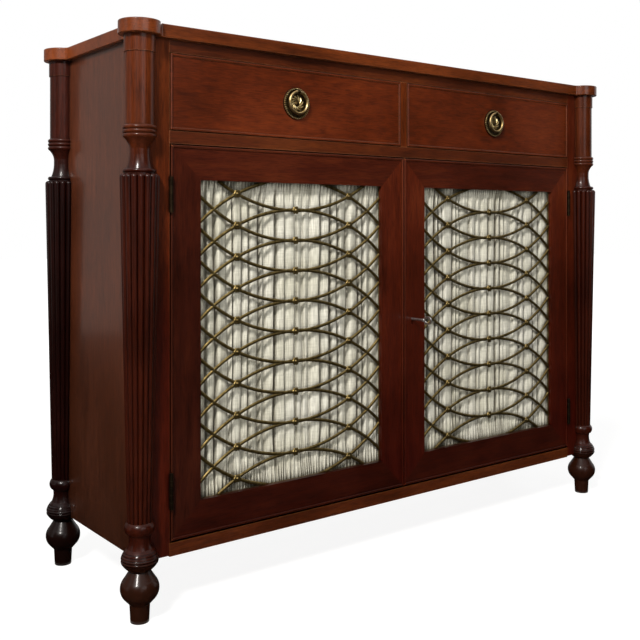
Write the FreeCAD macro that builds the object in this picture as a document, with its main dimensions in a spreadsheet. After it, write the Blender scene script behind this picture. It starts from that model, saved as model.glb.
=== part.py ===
import FreeCAD, Part
import math
import os
import re

import Sketcher
from FreeCAD import Placement, Rotation, Vector

# A two-door side cupboard with two drawers over brass-latticed doors, in mahogany.
# Millimetres, +X to the right seen from the front, +Y to the back, +Z up.
# Pieces are laid out from the front plane of the case, y = 0, and the origin is the
# middle of the whole cupboard's footprint on the floor, so front_place shifts each one.

SIZES = {
    # overall
    "height": 914,
    "column_spread": 1096,
    "case_depth": 300,
    "column_outset": 3,
    # top board
    "top_thickness": 21,
    "top_overhang": 10,
    "ear_radius": 33,
    "ear_blend_radius": 8,
    "top_edge_round": 1.5,
    # case boards
    "case_rise": 8,
    "panel_thickness": 18,
    "frame_thickness": 22,
    "stile_width": 48,
    "stile_lift": 2,
    "top_rail_height": 20,
    "middle_rail_height": 20,
    "bottom_rail_height": 21,
    "divider_width": 16,
    "board_thickness": 12,
    "back_thickness": 10,
    "back_groove_width": 3,
    "back_groove_depth": 2,
    "shelf_thickness": 16,
    "shelf_height": 300,
    "shelf_setback": 40,
    "shelf_slack": 0.5,
    "batten_width": 18,
    "batten_height": 18,
    "back_rail_depth": 20,
    # turned columns, from the floor up
    "turning_soft": 1.5,
    "peg_height": 27,
    "peg_foot_radius": 14.3,
    "peg_top_radius": 15.7,
    "ball_foot_height": 9.5,
    "ball_height": 29,
    "ball_neck_height": 12.5,
    "ball_shoulder_radius": 24.4,
    "ball_radius": 29.8,
    "base_neck_radius": 16.2,
    "base_round_height": 12,
    "base_round_radius": 28,
    "base_round_crest": 23.4,
    "base_bead_height": 5,
    "base_bead_radius": 28.6,
    "base_bead_root_radius": 27.2,
    "base_shoulder_height": 12,
    "base_shoulder_crest": 25,
    "lower_flare_radius": 19.6,
    "lower_cove_height": 23,
    "lower_neck_radius": 16.6,
    "lower_neck_top_radius": 17.8,
    "lower_ring_height": 17,
    "lower_ring_foot_radius": 20.5,
    "lower_ring_radius": 23.4,
    "reed_bottom_radius": 19.4,
    "reed_top_radius": 30.4,
    "reed_root": 4,
    "reed_core_drop": 2,
    "collar_root": 3,
    "collar_groove_height": 1.2,
    "collar_groove_radius": 24,
    "collar_height": 6,
    "collar_radius": 24.4,
    "upper_flare_radius": 20.4,
    "upper_flare_height": 22,
    "neck_radius": 15.7,
    "neck_height": 9,
    "upper_cove_height": 16.3,
    "bead_height": 6.5,
    "bead_radius": 26,
    "bead_root_radius": 23.8,
    "shaft_radius": 22.4,
    "plain_shaft_height": 111,
    "cap_band_height": 26.5,
    "cap_band_radius": 24,
    # drawers
    "drawer_opening_height": 122,
    "drawer_gap": 1.2,
    "drawer_front_thickness": 20,
    "drawer_back_gap": 28,
    "drawer_side_thickness": 9,
    "drawer_side_height": 105,
    "drawer_back_thickness": 10,
    "drawer_bottom_thickness": 6,
    "drawer_bottom_rise": 6,
    "drawer_groove_depth": 3,
    "drawer_run_clearance": 0.4,
    "drawer_stop_height": 5,
    "drawer_stop_width": 40,
    "drawer_stop_depth": 14,
    "drawer_stop_inset": 70,
    "drawer_stop_clearance": 0.3,
    "dovetail_depth": 14,
    "dovetail_base": 18,
    "dovetail_flare": 4,
    "guide_height": 20,
    "bead_width": 4,
    "bead_proud": 2,
    "bead_round": 1.4,
    # ring pulls
    "plate_radius": 27,
    "plate_rim_width": 3,
    "plate_rim_height": 3.2,
    "plate_field_height": 1.4,
    "plate_boss_radius": 6,
    "plate_boss_height": 5.2,
    "post_radius": 3,
    "post_clearance": 0.1,
    "nut_radius": 7,
    "nut_thickness": 4,
    "ring_radius": 18.5,
    "ring_wire_radius": 2.5,
    "ring_drop": 1.5,
    "ring_stand_off": 8,
    "lug_width": 5,
    "lug_radius": 2.7,
    "lug_clearance": 0.5,
    "ring_pin_radius": 1.35,
    "ring_pin_clearance": 0.08,
    # doors
    "door_thickness": 24,
    "door_frame_width": 54,
    "door_top_gap": 2,
    "door_bottom_gap": 3.5,
    "hinge_gap": 2,
    "meeting_gap": 2,
    "door_lip_thickness": 8,
    "rebate_width": 8,
    # butt hinges
    "hinge_length": 56,
    "hinge_inset": 50,
    "hinge_proud": 4.2,
    "knuckle_radius": 3.2,
    "knuckle_gap": 0.3,
    "knuckle_relief": 0.4,
    "hinge_pin_radius": 1.2,
    "hinge_pin_clearance": 0.05,
    "leaf_thickness": 1.6,
    "leaf_clearance": 0.2,
    "leaf_width": 19,
    # lattice and silk
    "lattice_radius": 281,
    "lattice_bar": 4,
    "lattice_thickness": 2.5,
    "lattice_cross": 0.7,
    "lattice_border": 5,
    "lattice_overhang": 6,
    "rosette_radius": 4.6,
    "rosette_edge": 0.8,
    "rosette_rise": 2.4,
    "rod_radius": 2,
    "rod_offset": 4,
    "rod_depth": 21.5,
    "silk_clearance": 0.3,
    "silk_thickness": 0.8,
    "silk_wave": 2.4,
    "silk_edge_gap": 3,
    # lock, key and door bolts
    "lock_height_place": 424,
    "key_inset": 21,
    "lock_width": 36,
    "lock_case_height": 40,
    "lock_depth": 12,
    "lock_wall": 1.5,
    "lock_below_key": 18,
    "lock_bolt_height": 8,
    "lock_bolt_thickness": 5,
    "lock_bolt_length": 28,
    "lock_bolt_travel": 8,
    "lock_bolt_inset": 0.3,
    "lock_bolt_clearance": 0.2,
    "lock_bolt_rise": 10.5,
    "strike_clearance": 0.5,
    "key_shank_radius": 2.4,
    "keyhole_clearance": 0.2,
    "key_reach": 52,
    "key_bow_length": 19,
    "key_bow_height": 16,
    "key_bow_rim": 3.2,
    "key_bow_thickness": 3,
    "key_collar_radius": 3.6,
    "key_collar_length": 3,
    "key_bit_length": 7.5,
    "key_bit_thickness": 2,
    "key_bit_width": 4.5,
    "key_in_lock": 7.5,
    "bolt_radius": 4,
    "bolt_clearance": 0.1,
    "bolt_length": 82.5,
    "bolt_recess": 1.5,
    "bolt_travel": 12,
    "bolt_inset": 13,
    "bolt_depth": 15,
    "bolt_hole_clearance": 0.6,
    "bolt_knob_radius": 2.2,
    "bolt_knob_reach": 15,
    "bolt_knob_place": 14,
    "cut_overrun": 5,
}

PLACES = {
    # case
    "base_neck_top": "peg_height + ball_foot_height + ball_height + ball_neck_height",
    "case_bottom": "base_neck_top + case_rise",
    "case_top": "height - top_thickness",
    "column_x": "column_spread / 2",
    "side_plane": "column_x - column_outset",
    "front_place": "(key_reach - case_depth - ear_radius) / 2",
    "panel_inside": "side_plane - panel_thickness",
    "stile_inside": "side_plane - stile_width",
    "stile_bottom": "case_bottom + stile_lift",
    "top_rail_bottom": "case_top - top_rail_height",
    "drawer_floor": "top_rail_bottom - drawer_opening_height",
    "middle_rail_bottom": "drawer_floor - middle_rail_height",
    "bottom_rail_top": "case_bottom + bottom_rail_height",
    "back_face": "case_depth - back_thickness",
    "divider_side": "divider_width / 2",
    "shelf_bottom": "bottom_rail_top + shelf_height",
    "shelf_end": "panel_inside - shelf_slack",
    # doors
    "hinge_x": "stile_inside - hinge_gap / 2",
    "door_outer": "stile_inside - hinge_gap",
    "door_inner": "meeting_gap / 2",
    "door_bottom": "bottom_rail_top + door_bottom_gap",
    "door_top": "middle_rail_bottom - door_top_gap",
    "sight_outer": "door_outer - door_frame_width",
    "sight_inner": "door_inner + door_frame_width",
    "sight_bottom": "door_bottom + door_frame_width",
    "sight_top": "door_top - door_frame_width",
    "key_x": "door_inner + key_inset",
    "lock_back": "door_thickness - lock_depth",
    "lock_bottom": "lock_height_place - lock_below_key",
    "lock_bolt_bottom": "lock_height_place + lock_bolt_rise",
    "lock_middle": "lock_back + lock_depth / 2",
    "bolt_x": "door_inner + bolt_inset",
    # drawers
    "drawer_outer": "stile_inside - drawer_gap",
    "drawer_inner": "divider_side + drawer_gap",
    "front_bottom": "drawer_floor + drawer_gap",
    "front_top": "top_rail_bottom - drawer_gap",
    "drawer_side_bottom": "drawer_floor + drawer_run_clearance",
    "drawer_side_top": "drawer_side_bottom + drawer_side_height",
    "drawer_bottom_low": "drawer_side_bottom + drawer_bottom_rise",
    "drawer_bottom_high": "drawer_bottom_low + drawer_bottom_thickness",
    "drawer_inside_outer": "drawer_outer - drawer_side_thickness",
    "drawer_inside_inner": "drawer_inner + drawer_side_thickness",
    "drawer_length": "back_face - drawer_back_gap",
    "drawer_back_front": "drawer_length - drawer_back_thickness",
    "tail_front": "drawer_front_thickness - dovetail_depth",
    "pull_x": "(drawer_outer + drawer_inner) / 2",
    "pull_z": "(front_bottom + front_top) / 2",
}

# counts and shares
REED_COUNT = 16
REED_WIDTH_SHARE = 0.168
REED_CORE_SHARE = 0.84
COLUMN_BEAD_COUNT = 3
BASE_BEAD_COUNT = 2
SEAM_TURN = 45
LATTICE_ROWS = 10
SILK_HALF_WAVES = 52
SILK_SPREAD_SHARE = 0.32
KNUCKLE_COUNT = 5
NUT_SIDES = 6
DOVETAIL_SHARES = (0.2, 0.5, 0.8)
BACK_GROOVE_SHARES = (0.25, 0.5, 0.75)
HALF_SHARE = 0.5

doc = FreeCAD.newDocument("Cupboard")
sizes_sheet = doc.addObject("Spreadsheet::Sheet", "Sizes")
places_sheet = doc.addObject("Spreadsheet::Sheet", "Places")
nodes = []


def bound(text, home=""):
    """Writes each word of a sum as the cell that holds it."""

    def cell(match):
        word = match.group()
        sheet = "Sizes" if word in SIZES else "Places"
        return word if sheet == home else sheet + "." + word

    return re.sub(r"[a-z][a-z_]+", cell, text)


def fill_sheet(sheet, rows):
    for row, (word, content) in enumerate(rows.items(), start=1):
        sheet.set("A%d" % row, word)
        sheet.set("B%d" % row, content)
        sheet.setAlias("B%d" % row, word)
    doc.recompute()


fill_sheet(sizes_sheet, {word: str(value) for word, value in SIZES.items()})
fill_sheet(places_sheet, {word: "=" + bound(sum_, "Places") for word, sum_ in PLACES.items()})


def mm(word):
    """One size or place as a number."""
    sheet = sizes_sheet if word in SIZES else places_sheet
    return float(sheet.get(word))


def finish_node(item, label):
    """Names a finished sub-part and sets it back from the front plane into the row's frame."""
    item.Label = label
    item.setExpression("Placement.Base.y", bound("front_place"))
    nodes.append(item)
    return item


def block(name, x, y, z):
    """A plain block between low and high sums along each axis, from the front plane."""
    item = doc.addObject("Part::Box", name)
    for size, axis, (low, high) in (("Length", "x", x), ("Width", "y", y), ("Height", "z", z)):
        item.setExpression(size, bound("(%s) - (%s)" % (high, low)))
        item.setExpression("Placement.Base." + axis, bound(low))
    return item


def board(label, x, y, z):
    """A flat board that is a sub-part by itself."""
    item = block(label, x, y, z)
    item.Label = label
    item.setExpression("Placement.Base.y", bound("front_place + (%s)" % y[0]))
    nodes.append(item)
    return item


def cut(name, base, *tools):
    if len(tools) > 1:
        tool = doc.addObject("Part::MultiFuse", name + "_tools")
        tool.Shapes = list(tools)
    else:
        tool = tools[0]
    item = doc.addObject("Part::Cut", name)
    item.Base = base
    item.Tool = tool
    return item


def fuse(name, *parts):
    item = doc.addObject("Part::MultiFuse", name)
    item.Shapes = list(parts)
    return item


def mirrored(name, source, normal=Vector(1, 0, 0)):
    """The same piece made for the other hand."""
    item = doc.addObject("Part::Mirroring", name)
    item.Source = source
    item.Normal = normal
    return item


def mirrored_node(label, source):
    item = mirrored(label, source)
    item.Label = label
    nodes.append(item)
    return item


def shaped(name, shape):
    """A piece whose form is a sweep, a loft or a revolved outline."""
    item = doc.addObject("Part::Feature", name)
    item.Shape = shape
    return item


def cylinder(name, radius, length, base, axis):
    """A rod from sums: its radius, its length, where it starts and the way it points."""
    item = doc.addObject("Part::Cylinder", name)
    item.setExpression("Radius", bound(radius))
    item.setExpression("Height", bound(length))
    item.Placement = Placement(Vector(), Rotation(Vector(0, 0, 1), axis))
    for letter, place in zip("xyz", base):
        item.setExpression("Placement.Base." + letter, bound(place))
    return item


def new_sketch(body, plane, offset):
    """An empty sketch on one of a body's own planes, moved along that plane's normal."""
    sketch = body.newObject("Sketcher::SketchObject", body.Name + "_outline")
    support = [item for item in body.Origin.OriginFeatures if item.Role == plane]
    sketch.AttachmentSupport = (support[0], "")
    sketch.MapMode = "FlatFace"
    sketch.setExpression("AttachmentOffset.Base.z", bound(offset))
    return sketch


def rectangle(sketch, across, up):
    """Adds a rectangle whose four sides are tied to sums."""
    first = sketch.GeometryCount
    corners = [Vector(0, 0, 0), Vector(1, 0, 0), Vector(1, 1, 0), Vector(0, 1, 0)]
    for index in range(4):
        sketch.addGeometry(Part.LineSegment(corners[index], corners[(index + 1) % 4]), False)
    for index in range(4):
        after = first + (index + 1) % 4
        sketch.addConstraint(Sketcher.Constraint("Coincident", first + index, 2, after, 1))
        way = "Horizontal" if index % 2 == 0 else "Vertical"
        sketch.addConstraint(Sketcher.Constraint(way, first + index))
    for line, sums in ((first, (across[0], up[0])), (first + 2, (across[1], up[1]))):
        for kind, sum_ in zip(("DistanceX", "DistanceY"), sums):
            index = sketch.addConstraint(Sketcher.Constraint(kind, -1, 1, line, 1, 1.0))
            sketch.setExpression("Constraints[%d]" % index, bound(sum_))


def circle(sketch, across, up, radius):
    """Adds a circle whose centre and radius are tied to sums."""
    index = sketch.addGeometry(Part.Circle(Vector(0, 0, 0), Vector(0, 0, 1), 1), False)
    for kind, sum_ in (("DistanceX", across), ("DistanceY", up)):
        held = sketch.addConstraint(Sketcher.Constraint(kind, -1, 1, index, 3, 1.0))
        sketch.setExpression("Constraints[%d]" % held, bound(sum_))
    held = sketch.addConstraint(Sketcher.Constraint("Radius", index, 1.0))
    sketch.setExpression("Constraints[%d]" % held, bound(radius))


def extrude(body, kind, sketch, length, against=False):
    """Pads or pockets a sketch by a sum."""
    feature = body.newObject("PartDesign::" + kind, body.Name + "_" + kind.lower())
    feature.Profile = sketch
    feature.Reversed = against
    feature.setExpression("Length", bound(length))
    body.Tip = feature
    doc.recompute()
    return feature


def round_edges(body, radius, keep):
    """Rounds the edges of a body that keep says yes to."""
    base = body.Tip
    names = ["Edge%d" % (index + 1) for index, edge in enumerate(base.Shape.Edges) if keep(edge)]
    feature = body.newObject("PartDesign::Fillet", body.Name + "_round")
    feature.Base = (base, names)
    feature.setExpression("Radius", bound(radius))
    body.Tip = feature
    return feature


def revolve(points, axis_point=Vector(), axis=Vector(0, 0, 1)):
    """Turns a closed outline of edges once round an axis."""
    face = Part.Face(Part.Wire(points))
    return face.revolve(axis_point, axis, 360)


def line(start, end):
    return Part.LineSegment(start, end).toShape()


def arc(start, middle, end):
    return Part.Arc(start, middle, end).toShape()


# top board

def ear_corner():
    """The outline round one ear, from the board's side to its front: a hollow, the ear, a hollow."""
    ear, blend, over = mm("ear_radius"), mm("ear_blend_radius"), mm("top_overhang")
    middle = Vector(-mm("column_x"), 0, mm("case_top"))
    reach = ear + blend
    side, front = -mm("side_plane") - over, -over
    aside, ahead = side - blend - middle.x, front - blend
    beside = middle + Vector(aside, math.sqrt(reach ** 2 - aside ** 2), 0)
    before = middle + Vector(math.sqrt(reach ** 2 - ahead ** 2), ahead, 0)

    def between(start, end):
        return (start + end).normalize()

    to_side, to_front = (beside - middle).normalize(), (before - middle).normalize()
    across, back = Vector(1, 0, 0), Vector(0, 1, 0)
    return [
        beside + across * blend,
        beside + between(across, -to_side) * blend,
        middle + to_side * ear,
        middle - between(to_side, to_front) * ear,
        middle + to_front * ear,
        before + between(back, -to_front) * blend,
        before + back * blend,
    ]


def make_table_top():
    """One board whose corners swell into round ears, with a softened edge above and below."""
    depth = mm("case_depth")
    corners = []
    for way, at_back in ((1, False), (-1, False), (-1, True), (1, True)):
        places = [Vector(v.x * way, depth - v.y if at_back else v.y, v.z) for v in ear_corner()]
        corners.append(places if (way > 0) != at_back else places[::-1])
    edges = []
    for index, places in enumerate(corners):
        edges += [arc(*places[first:first + 3]) for first in (0, 2, 4)]
        edges.append(line(places[-1], corners[(index + 1) % len(corners)][0]))
    board = Part.Face(Part.Wire(edges)).extrude(Vector(0, 0, mm("top_thickness")))
    rims = [edge for edge in board.Edges if edge.BoundBox.ZLength < mm("top_edge_round")]
    finish_node(shaped("table_top", board.makeFillet(mm("top_edge_round"), rims)), "table_top")


# columns

class Outline:
    """An outline drawn upwards beside a vertical axis: radius out, height up."""

    def __init__(self, radius, height):
        self.edges = []
        self.start = Vector(0, 0, height)
        self.at = Vector(0, 0, height)
        self.to(radius)

    def to(self, radius, rise=0):
        """A straight run to a radius, rising as it goes."""
        end = Vector(radius, 0, self.at.z + rise)
        if end.distanceToPoint(self.at) > 0:
            self.edges.append(line(self.at, end))
        self.at = end

    def swell(self, radius, rise, crest):
        """An arc that rises to a radius and passes through the crest radius half way."""
        end = Vector(radius, 0, self.at.z + rise)
        middle = Vector(crest, 0, self.at.z + rise * HALF_SHARE)
        self.edges.append(arc(self.at, middle, end))
        self.at = end

    def cove(self, radius, rise, share):
        """A hollow between two radii: share says how far its middle sits from the outer one."""
        low, high = sorted((self.at.x, radius))
        self.swell(radius, rise, high - (high - low) * share)

    def domed(self, crown):
        """The turned solid, closed by part of a ball that rises to the crown."""
        rise = crown - self.at.z
        ball = (self.at.x ** 2 + rise ** 2) / (2 * rise)
        turn = math.asin(self.at.x / ball) * HALF_SHARE
        shoulder = Vector(ball * math.sin(turn), 0, crown - ball + ball * math.cos(turn))
        top = Vector(0, 0, crown)
        self.edges.append(arc(self.at, shoulder, top))
        self.edges.append(line(top, self.start))
        return revolve(self.edges)

    def solid(self):
        top = Vector(0, 0, self.at.z)
        self.edges.append(line(self.at, top))
        self.edges.append(line(top, self.start))
        return revolve(self.edges)


COVE_SHARE = 0.72


def turned_foot():
    """Peg, ball, rounded base with its beads, lower neck and ring, up to the reeds."""
    outline = Outline(mm("peg_foot_radius"), 0)
    outline.to(mm("peg_top_radius"), mm("peg_height"))
    outline.to(mm("ball_shoulder_radius"), mm("ball_foot_height"))
    outline.swell(mm("ball_shoulder_radius"), mm("ball_height"), mm("ball_radius"))
    outline.to(mm("base_neck_radius"), mm("ball_neck_height"))
    outline.swell(mm("base_round_radius"), mm("base_round_height"), mm("base_round_crest"))
    for _ in range(BASE_BEAD_COUNT):
        outline.to(mm("base_bead_root_radius"))
        outline.swell(mm("base_bead_root_radius"), mm("base_bead_height"), mm("base_bead_radius"))
    outline.to(mm("base_round_radius"))
    outline.swell(mm("lower_flare_radius"), mm("base_shoulder_height"), mm("base_shoulder_crest"))
    outline.swell(mm("lower_neck_top_radius"), mm("lower_cove_height"), mm("lower_neck_radius"))
    outline.to(mm("lower_ring_foot_radius"))
    outline.swell(mm("reed_bottom_radius"), mm("lower_ring_height"), mm("lower_ring_radius"))
    return outline.solid(), outline.at.z


def turned_head(bottom):
    """Collar, neck, three beads, plain shaft and cap band, from the reeds to the top."""
    neck, collar = mm("neck_radius"), mm("collar_radius")
    root = mm("bead_root_radius")
    outline = Outline(mm("collar_groove_radius"), bottom - mm("collar_root"))
    outline.to(mm("collar_groove_radius"), mm("collar_root") + mm("collar_groove_height"))
    outline.swell(collar, mm("collar_height"), collar + mm("turning_soft"))
    outline.to(mm("upper_flare_radius"))
    outline.cove(neck, mm("upper_flare_height"), COVE_SHARE)
    outline.to(neck, mm("neck_height"))
    outline.cove(root, mm("upper_cove_height"), COVE_SHARE)
    for _ in range(COLUMN_BEAD_COUNT):
        outline.swell(root, mm("bead_height"), mm("bead_radius"))
    outline.to(mm("shaft_radius"))
    outline.to(mm("shaft_radius"), mm("plain_shaft_height"))
    outline.to(mm("cap_band_radius"))
    outline.to(mm("cap_band_radius"), mm("cap_band_height"))
    return outline.solid()


def one_reed(bottom, top):
    """A round bar that widens upwards and ends in half a ball, leaning outwards as it rises."""
    thin, thick = (mm("reed_%s_radius" % end) * REED_WIDTH_SHARE for end in ("bottom", "top"))
    foot = Vector(mm("reed_bottom_radius") - thin, 0, bottom)
    head = Vector(mm("reed_top_radius") - thick, 0, top - thick)
    length = head.distanceToPoint(foot)
    outline = Outline(thin, 0)
    outline.to(thick, length)
    bar = outline.domed(length + thick)
    bar.rotate(Vector(), Vector(0, 1, 0), math.degrees(math.atan2(head.x - foot.x, head.z - foot.z)))
    bar.translate(foot)
    return bar


def reeded_shaft(bottom, top):
    """Sixteen round-ended reeds side by side on a tapered core, rooted in the ring below."""
    low, high = (mm("reed_%s_radius" % end) * REED_CORE_SHARE for end in ("bottom", "top"))
    root = bottom - mm("reed_root")
    core = Part.makeCone(low, high, top - mm("reed_core_drop") - root, Vector(0, 0, root))
    first = one_reed(root, top)
    bars = []
    for index in range(REED_COUNT):
        bar = first.copy()
        bar.rotate(Vector(), Vector(0, 0, 1), math.degrees(2 * math.pi) * index / REED_COUNT)
        bars.append(bar)
    return core.fuse(bars)


def make_columns():
    """A turned and reeded column at each corner, cut out over the corner of the case."""
    foot, reeds_from = turned_foot()
    above = ("cap_band_height", "plain_shaft_height", "upper_cove_height", "neck_height")
    above += ("upper_flare_height", "collar_height", "collar_groove_height")
    reeds_to = mm("case_top") - sum(mm(word) for word in above) - COLUMN_BEAD_COUNT * mm("bead_height")
    whole = foot.fuse([reeded_shaft(reeds_from, reeds_to), turned_head(reeds_to)]).removeSplitter()
    whole.rotate(Vector(), Vector(0, 0, 1), SEAM_TURN)
    whole.translate(Vector(-mm("column_x"), 0, 0))
    reach = "column_outset + ear_radius"
    across = ("-side_plane", "-side_plane + " + reach)
    corner = block("column_corner", across, ("0", reach), ("case_bottom", "height"))
    front = cut("column_front_left", shaped("column_turning", whole), corner)
    finish_node(front, "column_front_left")
    rear = mirrored("column_rear_left", front, Vector(0, 1, 0))
    rear.Label = "column_rear_left"
    rear.setExpression("Base.y", bound("front_place + case_depth / 2"))
    nodes.append(rear)
    mirrored_node("column_front_right", front)
    mirrored_node("column_rear_right", rear)


# case

# where each door's two hinges start
HINGE_FOOT_SUMS = ("door_bottom + hinge_inset", "door_top - hinge_inset - hinge_length")


def leaf_recesses(name, x, front):
    """The shallow housings that the hinge leaves are let into."""
    return [
        block("%s_recess_%d" % (name, index), x, (front, "leaf_width"), (foot, foot + " + hinge_length"))
        for index, foot in enumerate(HINGE_FOOT_SUMS)
    ]


def make_stiles():
    """The front posts that the doors hang from."""
    across, tall = ("-side_plane", "-stile_inside"), ("stile_bottom", "case_top")
    plain = block("stile_blank", across, ("0", "frame_thickness"), tall)
    behind_leaf = ("-hinge_x - leaf_clearance - leaf_thickness", "-stile_inside")
    left = cut("front_stile_left", plain, *leaf_recesses("stile", behind_leaf, "0"))
    finish_node(left, "front_stile_left")
    mirrored_node("front_stile_right", left)


def bolt_hole(name, start, way):
    """A hole in a rail for the end of a door bolt."""
    place = ("-bolt_x", "bolt_depth", start)
    return cylinder(name, "bolt_radius + bolt_hole_clearance", "bolt_travel", place, way)


def make_case():
    """Sides, back, rails, boards, shelf and drawer guides."""
    up, down = Vector(0, 0, 1), Vector(0, 0, -1)
    inside = ("-panel_inside", "panel_inside")
    between = ("-stile_inside", "stile_inside")
    front = ("0", "frame_thickness")
    behind = ("frame_thickness", "back_face")
    tall = ("stile_bottom", "case_top")
    thick = ("-side_plane", "-panel_inside")
    side = board("side_panel_left", thick, ("frame_thickness", "case_depth"), tall)
    mirrored_node("side_panel_right", side)
    make_stiles()
    board("top_rail", between, front, ("top_rail_bottom", "case_top"))
    middle = block("middle_rail_blank", between, front, ("middle_rail_bottom", "drawer_floor"))
    hole = bolt_hole("upper_bolt_hole", "middle_rail_bottom", up)
    finish_node(cut("middle_rail", middle, hole), "middle_rail")
    bottom = block("bottom_rail_blank", between, front, ("case_bottom", "bottom_rail_top"))
    hole = bolt_hole("lower_bolt_hole", "bottom_rail_top", down)
    finish_node(cut("bottom_rail", bottom, hole), "bottom_rail")
    board("drawer_divider", ("-divider_side", "divider_side"), front, ("drawer_floor", "top_rail_bottom"))
    board("bottom_board", inside, behind, ("bottom_rail_top - board_thickness", "bottom_rail_top"))
    board("dust_board", inside, behind, ("drawer_floor - board_thickness", "drawer_floor"))
    at_back = ("back_face - back_rail_depth", "back_face")
    board("top_back_rail", inside, at_back, ("top_rail_bottom", "case_top"))
    make_back(inside, tall)
    on_shelf = ("shelf_setback", "back_face")
    shelf_z = ("shelf_bottom", "shelf_bottom + shelf_thickness")
    board("shelf", ("-shelf_end", "shelf_end"), on_shelf, shelf_z)
    batten_x = ("-panel_inside", "-panel_inside + batten_width")
    batten_z = ("shelf_bottom - batten_height", "shelf_bottom")
    batten = block("shelf_batten", batten_x, on_shelf, batten_z)
    battens = doc.addObject("Part::Compound", "shelf_battens")
    battens.Links = [batten, mirrored("shelf_batten_mirrored", batten)]
    finish_node(battens, "shelf_battens")
    guide_z = ("drawer_floor", "drawer_floor + guide_height")
    guide = board("drawer_guide_left", ("-panel_inside", "-stile_inside"), behind, guide_z)
    mirrored_node("drawer_guide_right", guide)
    board("drawer_guide_centre", ("-divider_side", "divider_side"), behind, guide_z)
    make_drawer_stops()


def make_back(across, tall):
    """The back: boards in one plane, with a groove at each joint between them."""
    back = block("back_blank", across, ("back_face", "case_depth"), tall)
    grooves = []
    for index, share in enumerate(BACK_GROOVE_SHARES):
        start = "-panel_inside + %s * 2 * panel_inside" % share
        depth = ("case_depth - back_groove_depth", "case_depth + cut_overrun")
        width = (start, start + " + back_groove_width")
        grooves.append(block("back_groove_%d" % index, width, depth, ("case_bottom", "height")))
    finish_node(cut("back_panel", back, *grooves), "back_panel")


def make_drawer_stops():
    """Two small blocks behind each drawer front, which it meets as it closes."""
    start = "drawer_front_thickness + drawer_stop_clearance"
    depth = (start, start + " + drawer_stop_depth")
    tall = ("drawer_floor", "drawer_floor + drawer_stop_height")
    near_side = "-drawer_outer + drawer_stop_inset"
    near_middle = "-drawer_inner - drawer_stop_inset - drawer_stop_width"
    blocks = []
    for index, low in enumerate((near_side, near_middle)):
        blocks.append(block("drawer_stop_%d" % index, (low, low + " + drawer_stop_width"), depth, tall))
    stops = doc.addObject("Part::Compound", "drawer_stops")
    stops.Links = blocks + [mirrored("%s_mirrored" % item.Name, item) for item in blocks]
    finish_node(stops, "drawer_stops")


# drawers

def dovetails(name, x):
    """Tails on the front end of a drawer side, wider towards the front."""
    low, tall = mm("drawer_side_bottom"), mm("drawer_side_height")
    near, far = mm("tail_front"), mm("drawer_front_thickness")
    half, flare = mm("dovetail_base") * HALF_SHARE, mm("dovetail_flare")
    tails = []
    for share in DOVETAIL_SHARES:
        middle = low + tall * share
        rows = ((far, -half + flare), (near, -half), (near, half), (far, half - flare))
        corners = [Vector(x, y, middle + z) for y, z in rows]
        face = Part.Face(Part.makePolygon(corners + corners[:1]))
        tails.append(face.extrude(Vector(mm("drawer_side_thickness"), 0, 0)))
    return shaped(name, Part.makeCompound(tails))


def make_drawer_front(tails):
    """A thick front with a raised bead round its face, housed for the bottom and the tails."""
    body = doc.addObject("PartDesign::Body", "drawer_front_body")
    across, up = ("-drawer_outer", "-drawer_inner"), ("front_bottom", "front_top")
    face = new_sketch(body, "XZ_Plane", "-drawer_front_thickness")
    rectangle(face, across, up)
    extrude(body, "Pad", face, "drawer_front_thickness")
    add_bead(body, across, up)
    groove = block(
        "front_bottom_groove",
        ("-drawer_inside_outer - drawer_groove_depth", "-drawer_inside_inner + drawer_groove_depth"),
        ("drawer_front_thickness - drawer_groove_depth", "drawer_front_thickness + cut_overrun"),
        ("drawer_bottom_low", "drawer_bottom_high"),
    )
    start = ("-pull_x", "-cut_overrun", "pull_z")
    through = "drawer_front_thickness + 2 * cut_overrun"
    post = cylinder("pull_post_hole", "post_radius + post_clearance", through, start, Vector(0, 1, 0))
    return cut("drawer_left_front", body, groove, post, *tails)


def add_bead(body, across, up):
    """The cock bead: a thin rounded strip that stands proud round the edge of a face."""
    strip = new_sketch(body, "XZ_Plane", "0")
    rectangle(strip, across, up)
    inner = [(low + " + bead_width", high + " - bead_width") for low, high in (across, up)]
    rectangle(strip, *inner)
    extrude(body, "Pad", strip, "bead_proud")
    front, near = -mm("bead_proud"), mm("bead_proud") * HALF_SHARE

    def is_crest(edge):
        box = edge.BoundBox
        return abs(box.YMin - front) < near and box.YLength < near

    round_edges(body, "bead_round", is_crest)


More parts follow.
